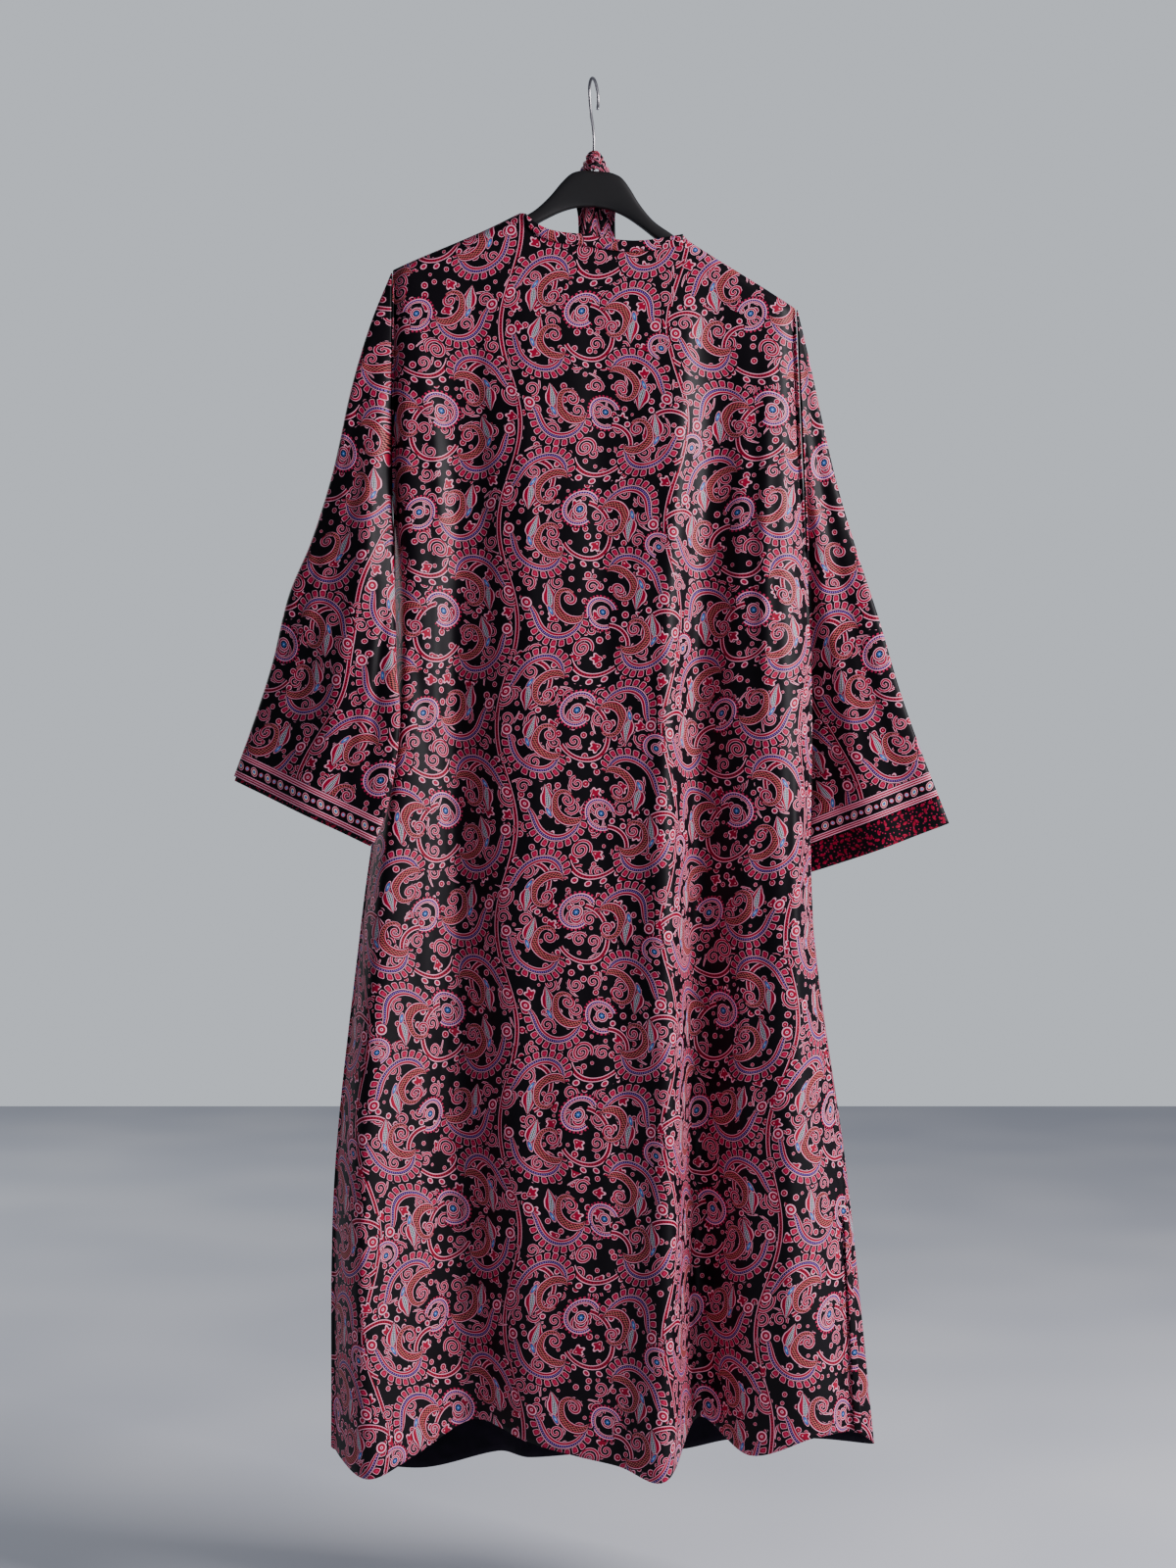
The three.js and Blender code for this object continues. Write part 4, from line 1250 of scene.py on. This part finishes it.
def leaf(place: Place, length: float, half: float) -> Ink:
    """A pointed leaf along x with a pale heart, short ticks round it and a red ring."""
    x, y = place.parts()
    share = x / length
    outline = [(0, 0), (0.12, 0.55 * half), (0.38, half), (0.68, 0.62 * half), (1, 0.0)]
    width = share.curve(outline, half)
    off = y - (share * math.pi).math("SINE") * (0.16 * half)
    t = (off / (width + 0.01)).size()
    ring = [(0.3, PALE), (0.37, CRIMSON), (0.84, PALE), (0.999, NIGHT)]
    heart = t.ramp([(0.0, NIGHT), (0.06, CREAM), (0.14, SKY), (0.24, NIGHT), *ring])
    ticked = t.ramp([(0.0, NIGHT), (0.06, SKY), (0.12, NIGHT), *ring])
    return Ink(over(heart, ticked, (share * (length / 1.7)).part().below(0.45)),
               (off.size() - width).below(1.1) * share.above(0.0) * share.below(1.0))


def draw_paisley(place: Place) -> Ink:
    """A large paisley: a flecked crescent that ends in a curl, an arch of bands and dashes
    over it, petals round the arch, a wedge and a leaf below."""
    r, u = place.polar(0.75)
    inner = u.curve([(0, 30), (0.28, 22.4), (0.35, 20.4), (0.5, 20), (0.65, 20), (0.75, 20.8),
                     (0.8, 24), (0.845, 30), (1, 34)], 34)
    thick = u.curve([(0, 0.2), (0.285, 0.4), (0.33, 4.2), (0.5, 6.6), (0.65, 7), (0.75, 6.6),
                     (0.82, 5.2), (0.85, 3.6), (1, 0.2)], 8)
    outer = r - inner
    arc = u.above(0.285) * u.below(0.85)
    across = ((u * 23).part() - 0.5) * 2.7
    out = (outer - thick - 4.0) / 3.7
    across, out_round = across * across, out * out
    petal = (across * across + out_round * out_round).ramp(
        [(0.0, PINK), (0.03, CRIMSON), (0.46, PALE), (0.82, NIGHT)])
    petals = Ink(petal, out.above(-1.3) * out.below(1.35) * arc)

    edge, line = [(0.0, PALE), (0.08, CRIMSON), (0.4, PALE), (0.47, NIGHT)], [(0.9, PALE)]
    solid = band(outer, thick, 0.12, [*edge, (0.55, VIOLET), (0.8, NIGHT), *line])
    dashed = band(outer, thick, 0.12, [*edge, *line])
    dash = (u * 66 + outer * 0.05).part().below(0.42)
    arch = Ink(over(solid.color, dashed.color, dash), solid.cover * arc)

    heart = place.seen_from(Spot(15.5, -14))
    r, u = heart.polar(0.0)
    low = u.curve([(0, 20), (0.17, 20.5), (0.25, 18.5), (0.375, 14.5), (0.5, 10), (0.625, 8.2),
                   (0.75, 7.2), (0.86, 7.4), (1, 7.6)], 28)
    high = u.curve([(0, 20), (0.165, 20.8), (0.19, 23), (0.25, 26.5), (0.375, 24.6), (0.5, 16.5),
                    (0.625, 12.8), (0.75, 11), (0.86, 9.6), (1, 8.4)], 28)
    wide = (high - low).math("MAXIMUM", 0.01)
    share = (r - low) / wide
    wave = heart.dot(1.25, 0.9).math("SINE") * heart.dot(-1.1, 1.9).math("SINE")
    flecks = wave.below(0.0) * share.above(0.2) * share.below(0.8)
    body = share.ramp([(0.0, PALE), (0.07, CRIMSON), (0.22, SALMON), (0.78, CRIMSON), (0.92, PALE)])
    beyond = ((share - 0.5).size() - 0.5) * wide
    body = over(over(body, NIGHT, flecks), NIGHT, beyond.above(0.0))
    crescent = Ink(body, beyond.below(1.0) * u.above(0.168) * u.below(0.9))
    coil = curl(heart, 6.4, 5.4, 1.5, 0.72)
    hidden = u.above(0.17) * r.above(low)
    coil = Ink(coil.color, coil.cover * hidden.math("SUBTRACT", 1.0).size())

    x, y = place.seen_from(Spot(-7.5, -4.5, -14)).parts()
    e = (x * x) * (1 / 6.2) + (y * y) * (1 / 42.0)
    wedge = Ink(e.ramp([(0.0, SKY), (0.06, BLUE), (0.45, NIGHT), (0.55, CRIMSON), (0.72, PALE),
                        (0.95, NIGHT)]), e.below(1.0))
    return stacked(leaf(place.seen_from(Spot(-8, -7, -74)), 27, 7.8), petals, arch,
                   knob(place, -29.5, -16.5, 6.4), crescent, coil, wedge)


def draw_wheel(place: Place) -> Ink:
    """A small blue star in rings, inside an open winding hoop of dashes with ticks along it."""
    r, u = place.polar(0.0)
    rays = (u * 8).part() - 0.5
    star = (r * (rays.size() * 2.2 + 0.5)).below(2.2) * (r - 2.35).size().below(1.65)
    hub = (r / 10.0).ramp([(0.0, SKY), (0.07, NIGHT), (0.4, PALE), (0.47, CRIMSON), (0.62, PALE),
                           (0.7, NIGHT)])
    out = r - (u * 5.0 + 11.0)
    t = out / 5.0
    dash = (u * 40).part().below(0.45) * t.above(0.4) * t.below(0.8)
    hoop = t.ramp([(0.0, PALE), (0.14, CRIMSON), (0.34, PALE), (0.44, VIOLET), (0.8, PALE)])
    hoop = over(NIGHT, over(hoop, NIGHT, dash), t.above(0.0) * t.below(1.0))
    tick = (u * 28).part().below(0.5) * (out - 6.1).size().below(1.2)
    cover = (t + 0.08).above(0.0) * out.below(8.0) * u.above(0.08) * u.below(0.86)
    return stacked(Ink(over(hub, BLUE, star), r.below(7.6)), Ink(over(hoop, PINK, tick), cover))


def draw_spray(place: Place) -> Ink:
    """A curved stem of dashes with buds along its outside, ending in a curl."""
    r, u = place.polar(0.6)
    off = (r - (u * -16.0 + 34.0)) / 5.0
    wide, line = off.size(), [(0.3, PALE), (0.46, NIGHT)]
    stem = over(wide.ramp([(0.0, NIGHT), (0.1, CRIMSON), *line]), wide.ramp([(0.0, CRIMSON), *line]),
                (u * 56).part().above(0.5))
    cell = ((u * 15).part() - 0.5) * 3.9
    out = off - 1.3
    bud = (cell * cell + out * out * 2.3).ramp(
        [(0.0, PINK), (0.05, CRIMSON), (0.42, PALE), (0.85, NIGHT)])
    arc = u.above(0.06) * u.below(0.72)
    return stacked(Ink(over(bud, stem, off.below(0.5)), arc * off.above(-0.64) * off.below(2.2)),
                   curl(place.seen_from(Spot(-16.5, -13.5, 20)), 5.6, 5.2, 1.5, 0.0))


def draw_scroll(place: Place) -> Ink:
    """A curled tendril with a tail."""
    r = place.length()
    x, y = place.parts()
    bend = y - x * x * 0.02 + 7.6
    off = (bend.size() / 1.4) + (x - 4.0).size() * 0.045
    tail = Ink(off.ramp([(0.0, CRIMSON), (0.55, PALE), (0.999, NIGHT)]),
               off.below(1.3) * (x - 4.0).size().below(11.0) * r.above(6.0))
    return stacked(tail, curl(place, 5.6, 5.0, 1.3, 0.55))


def draw_tulip(place: Place) -> Ink:
    """A bud with three narrow petals that opens upwards from a small round base."""
    r, u = place.seen_from(Spot(0, -6)).polar(0.75)
    reach = u.curve([(0, 3.6), (0.29, 3.6), (0.385, 8.8), (0.44, 7.4), (0.5, 11.0), (0.56, 7.4),
                     (0.615, 8.8), (0.71, 3.6), (1, 3.6)], 18)
    bands = [(0.0, PALE), (0.12, CRIMSON), (0.78, PALE), (0.96, NIGHT)]
    return Ink((r / reach).ramp(bands), (r - reach).below(0.8))


REPEAT_WIDTH, REPEAT_HEIGHT, SWAY = 175.0, 209.0, 11.0
SPRAYS = (Spot(0, 62, 40), Spot(4, -30, 215, True), Spot(-64, 14, 300), Spot(66, -40, 120, True))
PAISLEYS = (
    Spot(-48, 74, 4), Spot(-52, 4, 188, True), Spot(-44, -64, 352),
    Spot(44, 38, 176), Spot(48, -32, 8, True), Spot(42, -100, 190),
)
WHEELS = (Spot(-4, 36, 20), Spot(2, -66, 200, True, 0.9), Spot(78, 76, 90, False, 0.8))
# The ground's rosettes and the curls and buds: usual distance apart, in millimetres, and how
# far they stray from an even grid.
ROSETTES, CURLS = (1 / 0.075, 0.7), (23.0, 0.55)
# The cuff's border, in millimetres: how deep it is, its middle line, and its drops' spacing.
BORDER_DEPTH, BORDER_MIDDLE, BORDER_STEP = 26.0, 13.0, 17.0
# The hem's stitches: how many lie along a metre, the share of each that is thread, how far
# below the fold they run and half their height, in metres.
STITCHES, STITCH_SHARE, STITCH_DROP, STITCH_HALF = 330.0, 0.6, 0.0012, 0.0007


METRE = 1000.0


def in_millimetres(cloth: Place) -> Place:
    """A place on the cloth from its coordinates in metres."""
    return Place(cloth.tree, cloth.vector("MULTIPLY", (METRE, METRE, 0.0)).outputs[0])


def draw_ground(place: Place, edge: Wire, y: Wire) -> Wire:
    """Rosettes scattered on the dark ground, and a dashed vine where edge is 0."""
    cells = place.cells(*ROSETTES)
    far = Wire(place.tree, cells.outputs["Distance"])
    size = split(Wire(place.tree, cells.outputs["Color"]))[0] * 0.17 + 0.12
    rosette = (far / size).ramp([(0.0, PALE), (0.14, CRIMSON), (0.78, PALE), (0.95, NIGHT)])
    off, line = edge.size() / 3.4, [(0.46, PALE), (0.64, NIGHT)]
    vine = over(off.ramp([(0.0, NIGHT), (0.14, CRIMSON), *line]), off.ramp([(0.0, CRIMSON), *line]),
                (y * (1 / 3.2)).part().above(0.5))
    return over(over(NIGHT, rosette, far.below(size)), vine, off.below(0.95))


def draw_print(cloth: Place) -> list[Wire]:
    """The whole repeat: columns dropped by half and mirrored in turn, and motifs over a ground.

    The columns sway as x + sway * sin(2 pi y / height), so that the vine between two of them winds.
    """
    place, tree = in_millimetres(cloth), cloth.tree
    x, y = place.parts()
    swayed = x + (y * (2 * math.pi / REPEAT_HEIGHT)).math("SINE") * SWAY
    column = (swayed / REPEAT_WIDTH).math("ROUND")
    odd = (column * 0.5).part().size().above(0.25)
    local_x = (swayed - column * REPEAT_WIDTH) * (odd * -2.0 + 1.0)
    local_y = (y + odd * (REPEAT_HEIGHT / 2)).math("WRAP", REPEAT_HEIGHT / 2, -REPEAT_HEIGHT / 2)
    local = joined(tree, local_x, local_y)
    color = draw_ground(place, local_x.size() * -1.0 + REPEAT_WIDTH / 2, y)
    near, kind = place.scattered(*CURLS)
    for name, draw, seen, shown in (
        ("scroll", draw_scroll, near, kind.below(0.52)),
        ("tulip", draw_tulip, near, kind.above(0.74)),
        ("spray", draw_spray, local.nearest(SPRAYS, REPEAT_HEIGHT), 1.0),
        ("wheel", draw_wheel, local.nearest(WHEELS, REPEAT_HEIGHT), 1.0),
        ("paisley", draw_paisley, local.nearest(PAISLEYS, REPEAT_HEIGHT), 1.0),
    ):
        ink = Ink(*use(tree, group(name, "Place:Vector", "Color:Color Cover:Float", draw), Place=seen))
        color = over(color, ink.color, ink.cover * shown)
    return [color]


def draw_border(cloth: Place, reach: Wire, ground: Wire) -> list[Wire]:
    """The border round a cuff, over the ground: guard lines with a row of drops and rosettes."""
    x = in_millimetres(cloth).parts()[0]
    reach = reach * METRE
    rise = reach - BORDER_MIDDLE
    guard = (rise.size() / BORDER_MIDDLE).ramp([
        (0.0, NIGHT), (0.5, PALE), (0.57, CRIMSON), (0.68, PALE), (0.75, CRIMSON), (0.86, PALE),
        (0.94, NIGHT)])
    cell = ((x / BORDER_STEP).part() - 0.5) * BORDER_STEP
    lean, side = rise - cell * 0.35, cell.size() - BORDER_STEP / 2
    drop = cell * cell * (1 / 21.0) + lean * lean * (1 / 20.0)
    rose = side * side * (1 / 7.5) + rise * rise * (1 / 7.5)
    drops = drop.ramp([(0.0, BLUE), (0.1, CREAM), (0.28, CRIMSON), (0.62, PALE), (0.84, NIGHT)])
    roses = rose.ramp([(0.0, SKY), (0.08, BLUE), (0.3, PALE), (0.5, CRIMSON), (0.9, NIGHT)])
    row = over(over(guard, drops, drop.below(1.0)), roses, rose.below(1.0))
    return [over(ground, row, reach.below(BORDER_DEPTH))]


def draw_facing(cloth: Place) -> list[Wire]:
    """The small print of the cuff facings: crimson sprigs and dots on black."""
    place = in_millimetres(cloth)
    x, y = place.scattered(8.5, 0.7)[0].parts()
    lean = y + x * 0.4
    sprig = x * x * (1 / 9.0) + lean * lean * (1 / 3.6)
    color = over(NIGHT, sprig.ramp([(0.0, CRIMSON), (0.7, NIGHT)]), sprig.below(0.75))
    return [over(color, PINK, place.scattered(4.4, 0.9)[0].length().below(0.7))]


def draw_weave(cloth: Place, threads: Wire) -> list[Wire]:
    """A plain weave's height: threads across times threads along."""
    x, y = cloth.parts()
    return [(x * threads).math("SINE") * (y * threads).math("SINE")]


def draw_hem(cloth: Place, reach: Wire, depth: Wire) -> list[Wire]:
    """Height of a turned hem: a step at its depth, with a row of short sunk stitches along it."""
    off = reach - depth
    along = (cloth.parts()[0] * STITCHES).part().below(STITCH_SHARE)
    return [off.below(0.0) - along * (off + STITCH_DROP).size().below(STITCH_HALF)]


# ------------------------------------------------------------------ finishes
THREADS = 4200.0
WEAVE_HEIGHT = 0.0004


def all_groups() -> dict[str, Tree]:
    """The node groups that the cloths share, by what they draw."""
    return {
        "print": group("paisley print", "Cloth:Vector", "Color:Color", draw_print),
        "border": group("cuff border", "Cloth:Vector Reach:Float Ground:Color", "Color:Color",
                        draw_border),
        "facing": group("facing print", "Cloth:Vector", "Color:Color", draw_facing),
        "weave": group("weave", "Cloth:Vector Threads:Float", "Height:Float", draw_weave),
        "hem": group("turned hem", "Cloth:Vector Reach:Float Depth:Float", "Height:Float", draw_hem),
    }


def principled(name: str, values: dict[str, float]) -> tuple[bpy.types.Material, bpy.types.Node]:
    """A new material and its shader, with some of the shader's inputs set."""
    material = bpy.data.materials.new(name)
    material.use_nodes = True
    shader = material.node_tree.nodes["Principled BSDF"]
    for label, value in values.items():
        shader.inputs[label].default_value = value
    return material, shader


def mottled(where: Wire, scale: float, low: Dye, high: Dye, detail: float = 2.0) -> Wire:
    """A soft mottle between two colours.

    Args:
        where: the place.
        scale: how fine the mottle is, by the place's own unit.
        low: one colour.
        high: the other colour.
        detail: how many finer layers lie over it.

    Returns:
        The colour.
    """
    noise = fill(add(where.tree, "TexNoise"), Vector=where, Scale=scale, Detail=detail)
    return Wire(where.tree, noise.outputs[0]).ramp([(0.3, low), (0.7, high)], blended=True)


def on_object(tree: Tree) -> Wire:
    """The place on the object itself, in metres."""
    return Wire(tree, add(tree, "TexCoord").outputs["Object"])


class Look(Enum):
    """What a side of the cloth shows."""

    PRINT = "print"
    BORDER = "print with a border"
    FACING = "facing"
    REVERSE = "reverse"


@dataclass(frozen=True)
class Cloth:
    """A woven finish: a colour from cloth coordinates, a weave, and a turned hem if it has one."""

    name: str
    look: Look
    rough: float = 0.5
    depth: float = 0.12
    hem: float = 0.0

    def material(self, groups: dict[str, Tree]) -> bpy.types.Material:
        """The material, its colour and height worked out by the groups."""
        material, shader = principled(self.name, {"Roughness": self.rough, "Specular IOR Level": 0.15})
        tree = material.node_tree
        cloth = Wire(tree, add(tree, "UVMap", uv_map="cloth").outputs[0])
        feed(shader.inputs["Base Color"], self.color(cloth, groups))
        height = use(tree, groups["weave"], Cloth=cloth, Threads=THREADS)[0]
        if self.hem > 0:
            turned = use(tree, groups["hem"], Cloth=cloth, Reach=self.reach(tree), Depth=self.hem)[0]
            height = height * 0.25 + turned
        bump = fill(add(tree, "Bump"), Strength=self.depth, Distance=WEAVE_HEIGHT, Height=height)
        feed(shader.inputs["Normal"], Wire(tree, bump.outputs["Normal"]))
        return material

    def reach(self, tree: Tree) -> Wire:
        """Distance from the cloth's lower edge, in metres."""
        return Wire(tree, add(tree, "Attribute", attribute_name="reach").outputs["Fac"])

    def color(self, cloth: Wire, groups: dict[str, Tree]) -> Wire:
        """The cloth's colour."""
        if self.look is Look.REVERSE:
            return mottled(cloth, 60.0, linear(12, 10, 20), linear(24, 17, 30))
        if self.look is Look.FACING:
            return use(cloth.tree, groups["facing"], Cloth=cloth)[0]
        color = use(cloth.tree, groups["print"], Cloth=cloth)[0]
        if self.look is Look.PRINT:
            return color
        reach = self.reach(cloth.tree)
        return use(cloth.tree, groups["border"], Cloth=cloth, Reach=reach, Ground=color)[0]


@dataclass(frozen=True)
class Plain:
    """A plain finish with a faint mottle in its colour."""

    name: str
    shade: tuple[float, float, float]
    rough: float
    metal: float = 0.0

    def material(self) -> bpy.types.Material:
        """The material."""
        material, shader = principled(self.name, {"Roughness": self.rough, "Metallic": self.metal})
        low, high = ((*(c * f for c in self.shade), 1) for f in (0.88, 1.12))
        feed(shader.inputs["Base Color"], mottled(on_object(material.node_tree), 90.0, low, high))
        return material


# ------------------------------------------------------------------ light and camera
FLOOR = -1.62
AIM = (0.0, 0.0, -0.75)
CAMERA = (-0.006, -2.5, -0.7395)
SENSOR = 24.0
HALF_VIEW = 0.824


def light(name: str, place: tuple[float, float, float], size: float, power: float,
          color: tuple[float, float, float]) -> None:
    """A square soft light, turned to the robe.

    Args:
        name: the light's name.
        place: where it stands, in metres.
        size: its side, in metres.
        power: its power, in watts.
        color: its colour.
    """
    data = bpy.data.lights.new(name, "AREA")
    data.size, data.energy, data.color = size, power, color
    lamp = linked(name, data)
    lamp.location = place
    d = np.array(AIM) - np.array(place)
    tilt, turn = math.acos(-d[2] / np.linalg.norm(d)), math.atan2(d[1], d[0])
    lamp.rotation_euler = (tilt, 0, turn - math.pi / 2)


def room() -> bpy.types.World:
    """A pale even backdrop to the camera and a dim soft fill to everything else."""
    world = bpy.data.worlds.new("room")
    world.use_nodes = True
    tree = world.node_tree
    seen = Wire(tree, add(tree, "LightPath").outputs["Is Camera Ray"])
    color = over((0.175, 0.185, 0.225, 1.0), linear(200, 206, 214), seen)
    feed(tree.nodes["Background"].inputs["Color"], color)
    return world


def floor_finish() -> bpy.types.Material:
    """A plain pale matt floor with a faint mottle."""
    material, shader = principled("pale floor", {})
    tree = material.node_tree
    tree.nodes.remove(shader)
    matt = add(tree, "BsdfDiffuse")
    tint = mottled(on_object(tree), 3.0, linear(204, 208, 214), linear(214, 217, 221), detail=0.0)
    feed(matt.inputs["Color"], tint)
    feed(tree.nodes["Material Output"].inputs["Surface"], Wire(tree, matt.outputs[0]))
    return material


def studio() -> None:
    """Pale floor and room, a soft key from the right, and the camera on the robe's back."""
    mesh = bpy.data.meshes.new("floor")
    corners = [(x, y, FLOOR) for x, y in ((-7, -7), (7, -7), (7, 4), (-7, 4))]
    mesh.from_pydata(corners, [], [(0, 1, 2, 3)])
    mesh.materials.append(floor_finish())
    linked("floor", mesh)
    light("key", (2.3, -1.1, 0.2), 1.0, 130.0, (1.0, 0.96, 1.0))
    light("far_fill", (-2.9, 2.6, 0.5), 1.4, 45.0, (0.96, 0.98, 1.0))
    bpy.context.scene.world = room()
    data = bpy.data.cameras.new("camera")
    data.sensor_fit = "VERTICAL"
    data.sensor_height = SENSOR
    data.lens = SENSOR * -CAMERA[1] / (2 * HALF_VIEW)
    camera = linked("camera", data)
    camera.location = CAMERA
    camera.rotation_euler = (math.radians(90), 0, 0)
    bpy.context.scene.camera = camera


# ------------------------------------------------------------------ the robe on its hanger
@dataclass(frozen=True)
class Sheet:
    """What a cloth piece stands for and was cut from, in metres and square metres."""

    node: str
    slot: str
    width: float
    length: float
    area: float | None
    rests_on: str


SHEETS = {
    "robe_back": Sheet("back_panel", "print", 0.75, 1.31, 0.73, "hanger"),
    "robe_front_left": Sheet("front_left", "print", 0.31, 1.34, 0.32, "hanger"),
    "robe_front_right": Sheet("front_right", "print", 0.335, 1.30, 0.31, "hanger"),
    "left_sleeve": Sheet("sleeve_left", "print", 0.50, 0.55, 0.12, "robe_back"),
    "right_sleeve": Sheet("sleeve_right", "print", 0.51, 0.53, 0.09, "robe_back"),
    "left_cuff_facing": Sheet("cuff_band_left", "band", 0.345, 0.025, None, "left_sleeve"),
    "right_cuff_facing": Sheet("cuff_band_right", "band", 0.34, 0.031, None, "right_sleeve"),
    "back_neck_binding": Sheet("neck_binding", "print", 0.17, 0.026, None, "robe_back"),
    "left_front_binding": Sheet("front_binding_left", "print", 0.026, 1.31, None, "robe_front_left"),
    "right_front_binding": Sheet("front_binding_right", "print", 0.026, 1.285, None, "robe_front_right"),
    "sash_strip": Sheet("sash", "print", 0.042, 1.50, None, "hanger"),
}
WALL, EDGE_WALL = 1.0, 0.8
TACK_HALF, TACK_RADIUS = (3.5, 0.8, -0.6), 0.7


def vent_tack(back: Panel) -> bpy.types.Object:
    """A short bar of pale thread across the top of the vent, 7 mm long and 1.4 mm thick."""
    middle = back.place(np.array([[back.last - 0.1]]), np.array([[VENT_TOP + 4.0]]))[0, 0]
    path = middle + np.linspace(-1, 1, 9)[:, None] * np.array([TACK_HALF])
    path[:, 1] -= 1.1
    rings = tube_rings(path, TACK_RADIUS, 8)
    return lofted_object("vent_tack", rings, path[0] * 2 - path[1], path[-1] * 2 - path[-2])


def own(obj: bpy.types.Object, slot: str, *finishes: bpy.types.Material) -> bpy.types.Object:
    """Give a piece its finishes and the body that it rides."""
    for finish in finishes:
        obj.data.materials.append(finish)
    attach(obj, "root")
    return obj


def main() -> None:
    """Build each piece in the order in which the robe is hung, then light it."""
    logging.basicConfig(level=logging.INFO, format="%(name)s: %(message)s")
    groups = all_groups()
    cloth, hemmed, sleeve_cloth, inside, facing = (finish.material(groups) for finish in (
        Cloth("printed cloth", Look.PRINT),
        Cloth("printed cloth with a hem", Look.PRINT, depth=0.35, hem=0.014),
        Cloth("printed cloth with border", Look.BORDER),
        Cloth("reverse of the cloth", Look.REVERSE, rough=0.85),
        Cloth("facing", Look.FACING),
    ))
    back, left, right = back_panel(), left_front(), right_front()
    sleeves = (Sleeve("left_sleeve", LEFT_SLEEVE, LEFT_SLEEVE_CREASES),
               Sleeve("right_sleeve", RIGHT_SLEEVE, RIGHT_SLEEVE_CREASES))
    bands = (CuffBand("left_cuff_facing", sleeves[0], turned=True),
             CuffBand("right_cuff_facing", sleeves[1], turned=False))
    strips = (neck_binding(back), front_binding(left, "left_front_binding", NECK_LEFT, 0, 0.2),
              front_binding(right, "right_front_binding", NECK_RIGHT, 5, -0.2), Sash())
    kinds = (((back, left, right), hemmed, inside), (sleeves, sleeve_cloth, inside),
             (bands, facing, inside), (strips, cloth, cloth))
    for parts, finish, lining in kinds:
        for part in parts:
            grid, sheet = part.grid(), SHEETS[part.name]
            obj = own(grid_object(part.name, grid), sheet.slot, finish, lining)
            thicken(obj, WALL)
            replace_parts(obj, sheet.node)
            LOG.info("%s: %d faces, %.4f m2, %.3f wide, %.3f long", part.name, len(obj.data.polygons),
                     grid.area(), MM * float(np.ptp(grid.u, axis=1).max()), MM * float(np.ptp(grid.v)))
    plastic = Plain("black plastic", (0.005, 0.0045, 0.0045), 0.5)
    wire = Plain("wire", (0.3, 0.29, 0.3), 0.32, metal=1.0)
    for part, slot, finish in ((Hanger(), "hanger", plastic), (Hook(), "hook", wire)):
        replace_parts(own(part.build(), slot, finish.material()), part.node)
        LOG.info("%s", part.name)
    tack = own(vent_tack(back), "print", Plain("pale thread", (0.75, 0.72, 0.7), 0.7).material())
    edge = own(grid_object("vent_edge", vent_edge(back).grid()), "print", cloth)
    thicken(edge, EDGE_WALL)
    studio()


if __name__ == "__main__":
    main()
